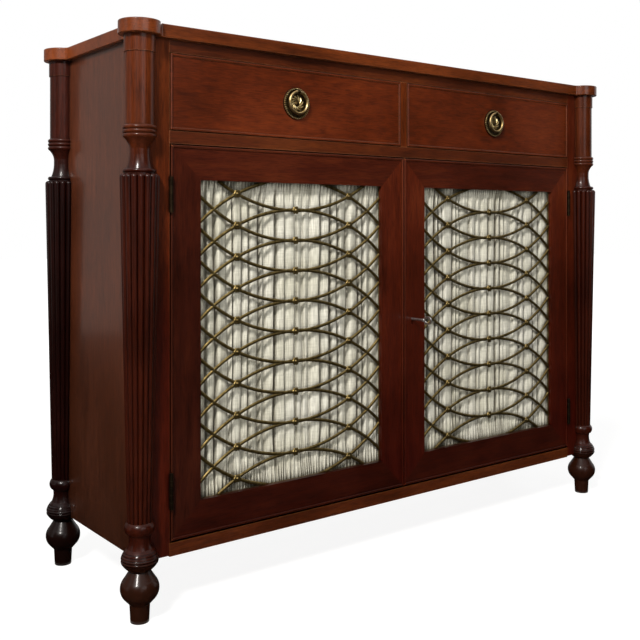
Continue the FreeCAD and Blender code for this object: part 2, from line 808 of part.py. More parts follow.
def make_drawer():
    """The left drawer, and the right one as its mirror image."""
    outer_tails = dovetails("outer_tails", -mm("drawer_outer"))
    inner_tails = dovetails("inner_tails", -mm("drawer_inner") - mm("drawer_side_thickness"))
    length = ("drawer_front_thickness", "drawer_length")
    side_z = ("drawer_side_bottom", "drawer_side_top")
    bottom_x = ("-drawer_inside_outer - drawer_groove_depth", "-drawer_inside_inner + drawer_groove_depth")
    groove = block("side_groove", bottom_x, length, ("drawer_bottom_low", "drawer_bottom_high"))
    outer = block("outer_side_blank", ("-drawer_outer", "-drawer_inside_outer"), length, side_z)
    inner = block("inner_side_blank", ("-drawer_inside_inner", "-drawer_inner"), length, side_z)
    pieces = {
        "drawer_left_front": make_drawer_front([outer_tails, inner_tails]),
        "drawer_left_outer_side": cut("outer_side", fuse("outer_side_tailed", outer, outer_tails), groove),
        "drawer_left_inner_side": cut("inner_side", fuse("inner_side_tailed", inner, inner_tails), groove),
    }
    for label, item in pieces.items():
        finish_node(item, label)
    pieces["drawer_left_back"] = board(
        "drawer_left_back",
        ("-drawer_inside_outer", "-drawer_inside_inner"),
        ("drawer_back_front", "drawer_length"),
        ("drawer_bottom_high", "drawer_side_top"),
    )
    bottom_y = ("drawer_front_thickness - drawer_groove_depth", "drawer_length")
    bottom_z = ("drawer_bottom_low", "drawer_bottom_high")
    pieces["drawer_left_bottom"] = board("drawer_left_bottom", bottom_x, bottom_y, bottom_z)
    for label, item in pieces.items():
        mirrored_node(label.replace("left", "right"), item)


# ring pulls

def pull_plate_shape():
    """A round plate with a raised rim and a domed boss, on a post with a nut behind."""
    edge, rim = mm("plate_radius"), mm("plate_rim_width")
    field, boss = mm("plate_field_height"), mm("plate_boss_radius")
    outline = Outline(edge, 0)
    outline.to(edge, field)
    crest = Vector(edge - rim * HALF_SHARE, 0, mm("plate_rim_height"))
    inside = Vector(edge - rim, 0, field)
    outline.edges.append(arc(outline.at, crest, inside))
    outline.at = inside
    outline.to(boss)
    plate = outline.domed(mm("plate_boss_height"))
    front = mm("drawer_front_thickness")
    post = Part.makeCylinder(mm("post_radius"), front + mm("nut_thickness"), Vector(), Vector(0, 0, -1))
    corners = []
    for side in range(NUT_SIDES + 1):
        turn = 2 * math.pi * side / NUT_SIDES
        corners.append(Vector(mm("nut_radius") * math.cos(turn), mm("nut_radius") * math.sin(turn), -front))
    nut = Part.Face(Part.makePolygon(corners)).extrude(Vector(0, 0, -mm("nut_thickness")))
    turned = plate.fuse([post, nut])
    turned.rotate(Vector(), Vector(1, 0, 0), 90)
    return turned


def make_pulls():
    """Each pull is a plate with a lug, and a ring that hangs from a pin through the lug."""
    place = Vector(-mm("pull_x"), 0, mm("pull_z"))
    lift, stand = mm("ring_radius") + mm("ring_drop"), mm("ring_stand_off")
    across = Vector(1, 0, 0)
    half = mm("lug_width") * HALF_SHARE
    lug_start = Vector(-half, -stand, lift)
    root = Vector(-half, -mm("plate_field_height") * HALF_SHARE, lift)
    up, out = Vector(0, 0, mm("lug_radius")), Vector(0, mm("lug_radius"), 0)
    rim = [arc(lug_start + up, lug_start - out, lug_start - up), line(lug_start - up, root - up)]
    rim += [line(root - up, root + up), line(root + up, lug_start + up)]
    lug = Part.Face(Part.Wire(rim)).extrude(Vector(mm("lug_width"), 0, 0))
    bore_radius = mm("ring_pin_radius") + mm("ring_pin_clearance")
    bore = Part.makeCylinder(bore_radius, mm("lug_width"), lug_start, across)
    plate = pull_plate_shape().fuse(lug.cut(bore))
    plate.translate(place)
    left = finish_node(shaped("drawer_left_pull_plate", plate), "drawer_left_pull_plate")
    mirrored_node("drawer_right_pull_plate", left)
    centre = Vector(0, -stand, mm("ring_drop"))
    hoop = Part.makeTorus(mm("ring_radius"), mm("ring_wire_radius"), centre, Vector(0, 1, 0))
    slot_half, reach = half + mm("lug_clearance"), mm("cut_overrun")
    slot_from = Vector(-slot_half, -stand - reach, lift - reach)
    slot = Part.makeBox(2 * slot_half, 2 * reach, 2 * reach, slot_from)
    pin_half = slot_half + mm("ring_wire_radius")
    pin = Part.makeCylinder(mm("ring_pin_radius"), 2 * pin_half, Vector(-pin_half, -stand, lift), across)
    ring = hoop.cut(slot).fuse(pin)
    ring.translate(place)
    left = finish_node(shaped("pull_ring_left", ring), "pull_ring_left")
    mirrored_node("pull_ring_right", left)


# doors

def door_blank():
    """The whole glued-up frame of the left door, before it is parted along its mitres."""
    body = doc.addObject("PartDesign::Body", "door_blank")
    across, up = ("-door_outer", "-door_inner"), ("door_bottom", "door_top")
    sight_x, sight_z = ("-sight_outer", "-sight_inner"), ("sight_bottom", "sight_top")
    outer = new_sketch(body, "XZ_Plane", "-door_thickness")
    rectangle(outer, across, up)
    rectangle(outer, sight_x, sight_z)
    extrude(body, "Pad", outer, "door_thickness")
    rebate = new_sketch(body, "XZ_Plane", "-door_thickness")
    grown = (" - rebate_width", " + rebate_width")
    rectangle(rebate, [a + b for a, b in zip(sight_x, grown)], [a + b for a, b in zip(sight_z, grown)])
    extrude(body, "Pocket", rebate, "door_thickness - door_lip_thickness", against=True)
    add_bead(body, across, up)
    return body


def mitre_wedge(name, sides):
    """A prism over one frame member, its slanted ends on the mitres."""
    reach = mm("cut_overrun")
    corners = [Vector(x, -reach, z) for x, z in sides]
    face = Part.Face(Part.makePolygon(corners + corners[:1]))
    return shaped(name, face.extrude(Vector(0, mm("door_thickness") + 2 * reach, 0)))


def door_members(blank):
    """The four mitred members of the left door, by name."""
    out_x, in_x = -mm("door_outer"), -mm("door_inner")
    low, high = mm("door_bottom"), mm("door_top")
    a, b = -mm("sight_outer"), -mm("sight_inner")
    c, d = mm("sight_bottom"), mm("sight_top")
    wedges = {
        "hinge_stile": ((out_x, low), (out_x, high), (a, d), (a, c)),
        "meeting_stile": ((in_x, low), (in_x, high), (b, d), (b, c)),
        "top_rail": ((out_x, high), (in_x, high), (b, d), (a, d)),
        "bottom_rail": ((out_x, low), (in_x, low), (b, c), (a, c)),
    }
    members = {}
    for name, sides in wedges.items():
        item = doc.addObject("Part::Common", "plain_" + name)
        item.Base = blank
        item.Tool = mitre_wedge(name + "_wedge", sides)
        members[name] = item
    return members


# how high each door bolt's knob is
UPPER_KNOB = "door_top - bolt_recess - bolt_length + bolt_knob_place"
LOWER_KNOB = "door_bottom + bolt_recess + bolt_length - bolt_knob_place"


def bolt_bores():
    """Upright bores for the two door bolts, each with a slot behind for its knob."""
    tools = []
    deep = "bolt_recess + bolt_length + bolt_hole_clearance"
    half = "bolt_knob_radius + bolt_hole_clearance"
    across = ("-bolt_x - (%s)" % half, "-bolt_x + %s" % half)
    ends = (
        ("upper", "door_top", Vector(0, 0, -1), "%s - (%s)" % (UPPER_KNOB, half)),
        ("lower", "door_bottom", Vector(0, 0, 1), "%s - bolt_travel - (%s)" % (LOWER_KNOB, half)),
    )
    for name, end, way, slot_from in ends:
        start = ("-bolt_x", "bolt_depth", end)
        tools.append(cylinder(name + "_bore", "bolt_radius + bolt_clearance", deep, start, way))
        slot_z = (slot_from, "%s + bolt_travel + 2 * (%s)" % (slot_from, half))
        tools.append(block(name + "_slot", across, ("bolt_depth", "door_thickness + cut_overrun"), slot_z))
    return tools


def hinge_cuts():
    """Housings for the leaves in the door's edge, and room for the knuckles in its bead."""
    behind_leaf = ("-door_outer", "-hinge_x + leaf_clearance + leaf_thickness")
    cuts = leaf_recesses("door", behind_leaf, "-bead_proud")
    radius, length = "knuckle_radius + knuckle_relief", "hinge_length + 2 * knuckle_gap"
    for index, foot in enumerate(HINGE_FOOT_SUMS):
        start = ("-hinge_x", "-hinge_proud", foot + " - knuckle_gap")
        cuts.append(cylinder("knuckle_relief_%d" % index, radius, length, start, Vector(0, 0, 1)))
    return cuts


def make_doors():
    """Both door frames: the left has the bolts and the lock's mortise, the right the lock."""
    plain = door_members(door_blank())
    other = {name: mirrored("right_" + name, item) for name, item in plain.items()}
    hung = cut("door_left_hinge_stile", plain["hinge_stile"], *hinge_cuts())
    finish_node(hung, "door_left_hinge_stile")
    mirrored_node("door_right_hinge_stile", hung)
    slack = "strike_clearance"
    half = "lock_bolt_thickness / 2 + " + slack
    mortise = block(
        "strike_mortise",
        ("-door_inner - lock_bolt_travel - " + slack, "cut_overrun"),
        ("lock_middle - (%s)" % half, "lock_middle + (%s)" % half),
        ("lock_bolt_bottom - " + slack, "lock_bolt_bottom + lock_bolt_height + " + slack),
    )
    bores = bolt_bores()
    bolted = cut("door_left_meeting_stile", plain["meeting_stile"], mortise, *bores)
    finish_node(bolted, "door_left_meeting_stile")
    finish_node(cut("door_left_top_rail", plain["top_rail"], bores[0]), "door_left_top_rail")
    finish_node(cut("door_left_bottom_rail", plain["bottom_rail"], bores[2]), "door_left_bottom_rail")
    housing = block(
        "lock_housing",
        ("door_inner - cut_overrun", "door_inner + lock_width"),
        ("lock_back", "door_thickness + cut_overrun"),
        ("lock_bottom", "lock_bottom + lock_case_height"),
    )
    holes = keyhole("stile", "-cut_overrun")
    locked = cut("door_right_meeting_stile", other["meeting_stile"], housing, *holes)
    finish_node(locked, "door_right_meeting_stile")
    for name in ("top_rail", "bottom_rail"):
        finish_node(other[name], "door_right_" + name)


def keyhole(name, start):
    """A round hole with a slot below it, for the shank and the bit."""
    shank, deep = "key_shank_radius + keyhole_clearance", "lock_back + lock_wall + cut_overrun"
    place = ("key_x", start, "lock_height_place")
    round_hole = cylinder(name + "_round", shank, deep, place, Vector(0, 1, 0))
    half = "key_bit_thickness / 2 + keyhole_clearance"
    slot = block(
        name + "_slot",
        ("key_x - (%s)" % half, "key_x + (%s)" % half),
        (start, "lock_back + lock_wall"),
        ("lock_height_place - key_shank_radius - key_bit_length - keyhole_clearance", "lock_height_place"),
    )
    return [round_hole, slot]


# hinges

def hinge_leaf(foot, own):
    """One leaf of a left-hand butt: a plate, and the knuckles that turn on the pin with it.

    own is 0 for the leaf on the case and 1 for the leaf on the door."""
    sign = 1 if own else -1
    axis_x, axis_y = -mm("hinge_x"), -mm("hinge_proud")
    near, thick = mm("leaf_clearance"), mm("leaf_thickness")
    low_x = axis_x + near if own else axis_x - near - thick
    plate = Part.makeBox(thick, mm("leaf_width"), mm("hinge_length"), Vector(low_x, 0, foot))
    parts = []
    pitch = mm("hinge_length") / KNUCKLE_COUNT
    up = Vector(0, 0, 1)
    gap = mm("knuckle_gap") * HALF_SHARE
    for index in range(own, KNUCKLE_COUNT, 2):
        start = foot + index * pitch + (gap if index > 0 else 0)
        stop = foot + (index + 1) * pitch - (gap if index + 1 < KNUCKLE_COUNT else 0)
        knuckle_from = Vector(axis_x, axis_y, start)
        parts.append(Part.makeCylinder(mm("knuckle_radius"), stop - start, knuckle_from, up))
        parts.append(Part.makeBox(thick, -axis_y, stop - start, Vector(low_x, axis_y, start)))
    bore_radius = mm("hinge_pin_radius") + mm("hinge_pin_clearance")
    bore = Part.makeCylinder(bore_radius, mm("hinge_length"), Vector(axis_x, axis_y, foot), up)
    return plate.fuse(parts).cut(bore).removeSplitter()


def both_hands(shapes):
    other = [item.mirror(Vector(), Vector(1, 0, 0)) for item in shapes]
    return shapes + other


def make_hinges():
    """Two butts to a door: leaves on the case, leaves on the doors, and loose pins."""
    low = mm("door_bottom") + mm("hinge_inset")
    high = mm("door_top") - mm("hinge_inset") - mm("hinge_length")
    feet = (low, high)
    on_case = both_hands([hinge_leaf(foot, 0) for foot in feet])
    finish_node(shaped("hinge_leaves_case", Part.makeCompound(on_case)), "hinge_leaves_case")
    on_door = shaped("door_left_hinge_leaves", Part.makeCompound([hinge_leaf(foot, 1) for foot in feet]))
    mirrored_node("door_right_hinge_leaves", finish_node(on_door, "door_left_hinge_leaves"))
    pins = []
    for foot in feet:
        pin_from = Vector(-mm("hinge_x"), -mm("hinge_proud"), foot)
        pins.append(Part.makeCylinder(mm("hinge_pin_radius"), mm("hinge_length"), pin_from))
    finish_node(shaped("hinge_pins", Part.makeCompound(both_hands(pins))), "hinge_pins")


# lattice

def lattice_arc(level, hangs):
    """One bar of the lattice: half a ring, with its turning point at a level."""
    radius, half = mm("lattice_radius"), mm("lattice_bar") * HALF_SHARE
    way = 1 if hangs else -1
    middle = (-mm("sight_outer") - mm("sight_inner")) * HALF_SHARE
    centre = Vector(middle, 0, level + way * (radius - mm("lattice_cross")))
    rims = []
    for reach in (radius + half, radius - half):
        across, down = Vector(reach, 0, 0), Vector(0, 0, -way * reach)
        rims.append((centre - across, centre + down, centre + across))
    outer, inner = rims
    edges = [arc(*outer), line(outer[2], inner[2]), arc(*reversed(inner)), line(inner[0], outer[0])]
    return Part.Face(Part.Wire(edges))


def lattice_rows():
    """The level of the lowest row of arcs, and the pitch. The outer rows run out of the window."""
    low, high = mm("sight_bottom") - mm("lattice_overhang"), mm("sight_top") + mm("lattice_overhang")
    return low, (high - low) / LATTICE_ROWS


def lattice_sheet():
    """Ten rows of crossing arcs, hanging and springing, within a plain border."""
    left, right = -mm("sight_outer"), -mm("sight_inner")
    low, high = mm("sight_bottom"), mm("sight_top")

    def panel(grow):
        across, up = (left - grow, right + grow), (low - grow, high + grow)
        corners = [Vector(across[i], 0, up[k]) for i, k in ((0, 0), (1, 0), (1, 1), (0, 1))]
        return Part.makePolygon(corners + corners[:1])

    start, pitch = lattice_rows()
    bars = []
    for row in range(LATTICE_ROWS):
        bars.append(lattice_arc(start + row * pitch, True))
        bars.append(lattice_arc(start + (row + 1) * pitch, False))
    gaps = Part.Face(panel(0)).cut(bars).Faces
    rims = [panel(mm("lattice_border"))] + [gap.OuterWire for gap in gaps]
    return Part.makeFace(rims, "Part::FaceMakerBullseye")


def rosette_places():
    """Middles of the rosettes: where two rows touch, and their first crossing at each side."""
    start, pitch = lattice_rows()
    middle = (-mm("sight_outer") - mm("sight_inner")) * HALF_SHARE
    radius = mm("lattice_radius")
    drop = radius - pitch * HALF_SHARE - mm("lattice_cross")
    aside = math.sqrt(radius ** 2 - drop ** 2)
    places = [(middle, start + row * pitch) for row in range(1, LATTICE_ROWS)]
    for row in range(LATTICE_ROWS):
        level = start + (row + HALF_SHARE) * pitch
        places += [(middle - aside, level), (middle + aside, level)]
    return places


def rosette():
    """A round button with a domed face. Its flat back ends inside the bars."""
    outline = Outline(mm("rosette_radius"), -mm("lattice_thickness") * HALF_SHARE)
    outline.to(mm("rosette_radius"), mm("lattice_thickness") * HALF_SHARE + mm("rosette_edge"))
    button = outline.domed(mm("rosette_rise"))
    button.rotate(Vector(), Vector(1, 0, 0), 90)
    return button


def make_lattices():
    """The brass lattice lies against the lip of the door frame, in its rebate."""
    front = mm("door_lip_thickness")
    sheet = lattice_sheet()
    sheet.translate(Vector(0, front, 0))
    net = sheet.extrude(Vector(0, mm("lattice_thickness"), 0))
    buttons = []
    for across, level in rosette_places():
        button = rosette()
        button.translate(Vector(across, front, level))
        buttons.append(button)
    solid = net.fuse(buttons)
    left = finish_node(shaped("door_left_lattice", solid), "door_left_lattice")
    mirrored_node("door_right_lattice", left)


# silk

def silk_section(height, phase):
    """A strip of cloth seen from above: arcs that bulge forwards and backwards by turns."""
    start = -mm("sight_outer") - mm("rebate_width") + mm("silk_edge_gap")
    stop = -mm("sight_inner") + mm("rebate_width") - mm("silk_edge_gap")
    widths = [1 + SILK_SPREAD_SHARE * math.sin(phase + wave * wave) for wave in range(SILK_HALF_WAVES)]
    unit = (stop - start) / sum(widths)
    thick, wave_height = mm("silk_thickness"), mm("silk_wave")
    back = mm("rod_depth") - mm("rod_radius") - mm("silk_clearance") - wave_height
    rows = []
    for depth in (back, back - thick):
        x = start
        row = []
        for index, width in enumerate(widths):
            bulge = wave_height if index % 2 else -wave_height
            ends = (Vector(x, depth, height), Vector(x + width * unit, depth, height))
            middle = Vector(x + width * unit * HALF_SHARE, depth + bulge, height)
            row.append(arc(ends[0], middle, ends[1]))
            x += width * unit
        rows.append(row)
    right = line(rows[0][-1].Vertexes[-1].Point, rows[1][-1].Vertexes[-1].Point)
    left = line(rows[0][0].Vertexes[0].Point, rows[1][0].Vertexes[0].Point)
    return Part.Wire(Part.__sortEdges__(rows[0] + [right] + rows[1] + [left]))


def make_silk():
    """Pleated silk behind each lattice, hung between two brass rods."""
    reach = mm("rebate_width") - mm("silk_edge_gap")
    low, high = mm("sight_bottom") - reach, mm("sight_top") + reach
    cloth = Part.makeLoft([silk_section(low, 0), silk_section(high, math.pi / 3)], True, True)
    left = finish_node(shaped("door_left_silk", cloth), "door_left_silk")
    mirrored_node("door_right_silk", left)
    length = "sight_outer - sight_inner + 2 * rebate_width"
    start = "-sight_outer - rebate_width"
    rods = doc.addObject("Part::Compound", "door_left_silk_rods")
    rods.Links = [
        cylinder("silk_rod_%d" % index, "rod_radius", length, (start, "rod_depth", height), Vector(1, 0, 0))
        for index, height in enumerate(("sight_bottom - rod_offset", "sight_top + rod_offset"))
    ]
    mirrored_node("door_right_silk_rods", finish_node(rods, "door_left_silk_rods"))


# lock, key and bolts

def make_lock():
    """A cut lock in the right door: a hollow case, a sliding bolt and a key."""
    x, z = ("door_inner", "door_inner + lock_width"), ("lock_bottom", "lock_bottom + lock_case_height")
    outer = block("lock_case_outside", x, ("lock_back", "door_thickness"), z)
    hollow = block(
        "lock_case_inside",
        (x[0] + " + lock_wall", x[1] + " - lock_wall"),
        ("lock_back + lock_wall", "door_thickness - lock_wall"),
        (z[0] + " + lock_wall", z[1] + " - lock_wall"),
    )
    slack = "lock_bolt_clearance"
    half = "lock_bolt_thickness / 2"
    mouth = block(
        "lock_mouth",
        ("door_inner - cut_overrun", "door_inner + lock_wall + cut_overrun"),
        ("lock_middle - %s - %s" % (half, slack), "lock_middle + %s + %s" % (half, slack)),
        ("lock_bolt_bottom - " + slack, "lock_bolt_bottom + lock_bolt_height + " + slack),
    )
    holes = keyhole("case", "lock_back - cut_overrun")
    finish_node(cut("lock_case", outer, hollow, mouth, *holes), "lock_case")
    board(
        "lock_bolt",
        ("door_inner + lock_bolt_inset", "door_inner + lock_bolt_inset + lock_bolt_length"),
        ("lock_middle - " + half, "lock_middle + " + half),
        ("lock_bolt_bottom", "lock_bolt_bottom + lock_bolt_height"),
    )
    finish_node(shaped("key", key_shape()), "key")


def key_shape():
    """A key in its lock: pierced oval bow, collar, round shank and a bit that points down."""
    x, z = mm("key_x"), mm("lock_height_place")
    bow_long, bow_tall, rim = mm("key_bow_length"), mm("key_bow_height"), mm("key_bow_rim")
    thick, reach = mm("key_bow_thickness"), mm("key_reach")
    middle = Vector(x - thick * HALF_SHARE, -reach + bow_long * HALF_SHARE, z)
    back = Vector(0, 1, 0)

    def oval(inset):
        semi_long, semi_tall = bow_long * HALF_SHARE - inset, bow_tall * HALF_SHARE - inset
        curve = Part.Ellipse(middle + Vector(0, semi_long, 0), middle + Vector(0, 0, semi_tall), middle)
        return Part.Face(Part.Wire(curve.toShape())).extrude(Vector(thick, 0, 0))

    bow = oval(0).cut(oval(rim))
    shank_from = -reach + bow_long - rim * HALF_SHARE
    shank_to = mm("lock_back") + mm("key_in_lock")
    shank = Part.makeCylinder(mm("key_shank_radius"), shank_to - shank_from, Vector(x, shank_from, z), back)
    collar_from = Vector(x, -reach + bow_long, z)
    collar = Part.makeCylinder(mm("key_collar_radius"), mm("key_collar_length"), collar_from, back)
    bit_tall, bit_thick = mm("key_bit_length") + mm("key_shank_radius"), mm("key_bit_thickness")
    bit_from = Vector(x - bit_thick * HALF_SHARE, shank_to - mm("key_bit_width"), z - bit_tall)
    bit = Part.makeBox(bit_thick, mm("key_bit_width"), bit_tall, bit_from)
    return bow.fuse([shank, collar, bit])


def make_door_bolts():
    """Round brass bolts that slide up and down in the left door, each with a small knob."""
    up, down, back = Vector(0, 0, 1), Vector(0, 0, -1), Vector(0, 1, 0)
    ends = (
        ("door_bolt_upper", "door_top - bolt_recess - bolt_length", up, UPPER_KNOB),
        ("door_bolt_lower", "door_bottom + bolt_recess + bolt_length", down, LOWER_KNOB),
    )
    for label, start, way, knob_z in ends:
        rod = cylinder(label + "_rod", "bolt_radius", "bolt_length", ("-bolt_x", "bolt_depth", start), way)
        knob_from = ("-bolt_x", "bolt_depth", knob_z)
        knob = cylinder(label + "_knob", "bolt_knob_radius", "bolt_knob_reach", knob_from, back)
        finish_node(fuse(label, rod, knob), label)


make_table_top()
make_columns()
make_case()
make_drawer()
make_pulls()
make_doors()
make_hinges()
make_lattices()
make_silk()
make_lock()
make_door_bolts()
doc.recompute()


def check_document():
    """Stops before anything is written if a piece failed or came out empty."""
    for item in doc.Objects:
        if any(word in item.State for word in ("Invalid", "Error")):
            raise RuntimeError("%s failed: %s" % (item.Name, item.State))
    for item in nodes:
        if item.Shape.isNull() or not item.Shape.isValid() or not item.Shape.Solids:
            raise RuntimeError("%s has no sound solid" % item.Label)


def write_parts():
    os.makedirs("parts", exist_ok=True)
    for item in nodes:
        item.Shape.exportStep("parts/%s.step" % item.Label)
        print("%-26s %2d solids %9.0f mm3" % (item.Label, len(item.Shape.Solids), item.Shape.Volume))


check_document()
write_parts()
print(len(nodes), "sub-parts")
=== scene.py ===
# %% [markdown]
# The cupboard comes in as a fixed frame of solids, one object for each piece of wood, brass,
# steel and cloth. This notebook gives each of them its finish, and adds what is too fine for
# the solids: the pleated silk, the rosettes and round faces of the lattice, and the cast
# leaves of the drawer pulls. Everything is in metres, with the floor at zero.

import math

import bpy
import numpy as np
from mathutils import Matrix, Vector


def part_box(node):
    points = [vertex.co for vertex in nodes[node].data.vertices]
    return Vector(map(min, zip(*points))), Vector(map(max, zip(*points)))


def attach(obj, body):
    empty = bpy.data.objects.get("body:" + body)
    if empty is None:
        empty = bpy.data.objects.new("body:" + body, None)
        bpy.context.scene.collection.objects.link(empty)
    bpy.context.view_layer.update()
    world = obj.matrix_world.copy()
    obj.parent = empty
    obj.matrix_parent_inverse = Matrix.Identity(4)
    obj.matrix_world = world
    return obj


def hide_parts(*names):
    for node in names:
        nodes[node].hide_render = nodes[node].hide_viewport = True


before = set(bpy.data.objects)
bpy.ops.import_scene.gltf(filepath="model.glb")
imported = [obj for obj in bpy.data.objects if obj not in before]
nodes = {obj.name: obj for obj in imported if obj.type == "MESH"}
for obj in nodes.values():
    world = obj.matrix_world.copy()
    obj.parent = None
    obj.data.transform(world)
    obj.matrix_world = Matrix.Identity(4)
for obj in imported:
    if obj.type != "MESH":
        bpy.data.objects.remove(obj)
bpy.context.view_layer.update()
MM = 0.001

# %% [markdown]
# The camera comes first. The uprights of the photographed cupboard stay parallel, so its
# camera was level and the picture was shifted downwards instead of tilted. A level camera
# turned by the angle below, with a normal lens, gives the same converging edges.

# %% Camera
CAMERA_PLACE = (-1.1805, -1.4046, 0.6053)
CAMERA_TURN = math.radians(-37.79)
CAMERA_LENS = 51.17
CAMERA_SHIFT = -0.1503

camera_data = bpy.data.cameras.new("camera")
camera_data.sensor_width = 36
camera_data.lens = CAMERA_LENS
camera_data.shift_y = CAMERA_SHIFT
camera_data.clip_start = 0.05
camera = bpy.data.objects.new("camera", camera_data)
camera.location = CAMERA_PLACE
camera.rotation_euler = (math.pi / 2, 0, CAMERA_TURN)
bpy.context.scene.collection.objects.link(camera)
bpy.context.scene.camera = camera
bpy.context.scene.view_settings.view_transform = "Standard"
print("camera at", CAMERA_PLACE, "turned", round(math.degrees(CAMERA_TURN), 1), "degrees")

# %% [markdown]
# Materials are small graphs of nodes. Three helpers are enough for all of them: one turns a
# colour written as sRGB hex into the linear numbers that Blender works in, one adds a node
# with its settings and links, and one opens a new material and hands over its shader.

# %% Material helpers
def linear(hex_colour):
    """An sRGB colour such as 5c2412 as linear red, green, blue and alpha."""
    channels = [int(hex_colour[i:i + 2], 16) / 255 for i in (0, 2, 4)]
    curved = [c / 12.92 if c <= 0.04045 else ((c + 0.055) / 1.055) ** 2.4 for c in channels]
    return (*curved, 1)


def add(tree, kind, settings=None, **inputs):
    """Adds one node. An input is a value, or the output socket of another node."""
    node = tree.nodes.new(kind)
    for name, value in (settings or {}).items():
        setattr(node, name, value)
    for name, value in inputs.items():
        key = int(name[1:]) if name[0] == "i" and name[1:].isdigit() else name.replace("_", " ")
        socket = node.inputs[key]
        if isinstance(value, bpy.types.NodeSocket):
            tree.links.new(value, socket)
        else:
            socket.default_value = value
    return node


def new_material(name, **shader_values):
    """A material with an empty tree but for its shader and output."""
    made = bpy.data.materials.new(name)
    made.use_nodes = True
    tree = made.node_tree
    shader = tree.nodes["Principled BSDF"]
    for key, value in shader_values.items():
        shader.inputs[key.replace("_", " ")].default_value = value
    return made, tree, shader


def ramp(tree, factor, stops):
    """A colour ramp from a list of (place, hex colour)."""
    node = add(tree, "ShaderNodeValToRGB", Fac=factor)
    while len(node.color_ramp.elements) < len(stops):
        node.color_ramp.elements.new(0.5)
    for element, (place, colour) in zip(node.color_ramp.elements, stops):
        element.position = place
        element.color = linear(colour)
    return node.outputs["Color"]


def dress(material, *names):
    """Gives a finish to pieces of the frame."""
    for name in names:
        for slot in nodes[name].material_slots:
            slot.material = material


# settings of a mix node that blends two colours, of one that multiplies them, and of two math nodes
MIX = {"data_type": "RGBA"}
TINT = {"data_type": "RGBA", "blend_type": "MULTIPLY"}
MULTIPLY = {"operation": "MULTIPLY"}
MULTIPLY_ADD = {"operation": "MULTIPLY_ADD"}
print("helpers ready")

# %% [markdown]
# The cupboard is Cuban mahogany under French polish: shellac laid on with a rubber in many
# thin coats, which fills the pores and leaves a warm, clear, slightly soft gloss. Under it the
# wood shows growth bands a centimetre or two wide and short dark pores. Both come from noise
# that is drawn out along the grain, so one function serves every board: it takes the direction
# of the grain, four colours, how the piece has aged, and where it is painted darker as shade.
# Real pores are 0.2 mm wide; here they are about 1.6 mm, because finer ones would not show at
# this size. Every edge is painted paler, partly as wear of the polish and partly as painted
# highlight: the bevel node looks for edges, and there the colour turns paler. Every hollow is
# painted nearly black as shade, which the occlusion node finds. Towards the floor the wood is
# painted darker as shade, with a shift of hue. The mitres of the doors are joints and not
# edges, so they get no pale edge. The turned feet have fine lines scored round them, and
# brooms and boots have browned them.

# %% Polished mahogany
BAND_WIDTH = 11 * MM
BAND_ALONG = 0.09
BAND_SHARE = 0.4
PORE_WIDTH = 1.6 * MM
PORE_ALONG = 0.07
PORE_DEPTH = 0.15 * MM
PATCH_WIDTH = 190 * MM
PATCH_SHARE = 0.5
# the edges are painted paler, partly as wear and partly as painted highlight
EDGE_WIDTH = 1.6 * MM
EDGE_WEAR_AND_HIGHLIGHT = 0.65
SHELLAC_IOR = 1.52
# the colour below is the painted shade in the hollows, and the wax in the scored lines of the feet
SHADE_AND_WAX = "110504"
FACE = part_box("front_stile_left")[0][1]
PALE_EDGE_FROM = 0.2 * MM
PALE_EDGE_TO = 0.8 * MM
SCORE_FOOT = 88 * MM
SCORE_TOP = 108 * MM
SCORE_PITCH = 4 * MM
SCORE_DEPTH = 0.7 * MM
FOOT_BROWNING = 0.7


def along_grain(tree, place, grain, squeeze):
    """Coordinates drawn out along the grain."""
    scale = [1, 1, 1]
    scale["XYZ".index(grain)] = squeeze
    return add(tree, "ShaderNodeMapping", Vector=place, Scale=scale).outputs["Vector"]


def edge_mask(tree, width, amount):
    """One on edges, nothing on flats: a rounded normal differs from the true one there."""
    soft = add(tree, "ShaderNodeBevel", {"samples": 4}, Radius=width).outputs["Normal"]
    true = add(tree, "ShaderNodeNewGeometry").outputs["True Normal"]
    dot = {"operation": "DOT_PRODUCT"}
    same = add(tree, "ShaderNodeVectorMath", dot, i0=soft, i1=true).outputs["Value"]
    return add(tree, "ShaderNodeMapRange", i0=same, i1=0.995, i2=0.80, i4=amount).outputs["Result"]


def only_ahead(tree, place, pale_edge):
    """Keeps the pale edges, wear and painted highlight, on what stands in front of the case's face, and off
    the joints in it.
    """
    depth = add(tree, "ShaderNodeSeparateXYZ", Vector=place).outputs["Y"]
    ahead = add(tree, "ShaderNodeMapRange", i0=depth, i1=FACE - PALE_EDGE_FROM, i2=FACE - PALE_EDGE_TO)
    return add(tree, "ShaderNodeMath", MULTIPLY, i0=pale_edge, i1=ahead.outputs["Result"]).outputs["Value"]


def tint_low_shade(tree, place, colour, low, high, tint):
    """Painted shade towards the floor: tints all of the wood below the low height, none above the high one.
    """
    height = add(tree, "ShaderNodeSeparateXYZ", Vector=place).outputs["Z"]
    shade_share = add(tree, "ShaderNodeMapRange", i0=height, i1=low, i2=high, i3=1.0, i4=0.0).outputs["Result"]
    return add(tree, "ShaderNodeMix", TINT, i0=shade_share, i6=colour, i7=linear(tint)).outputs[2]


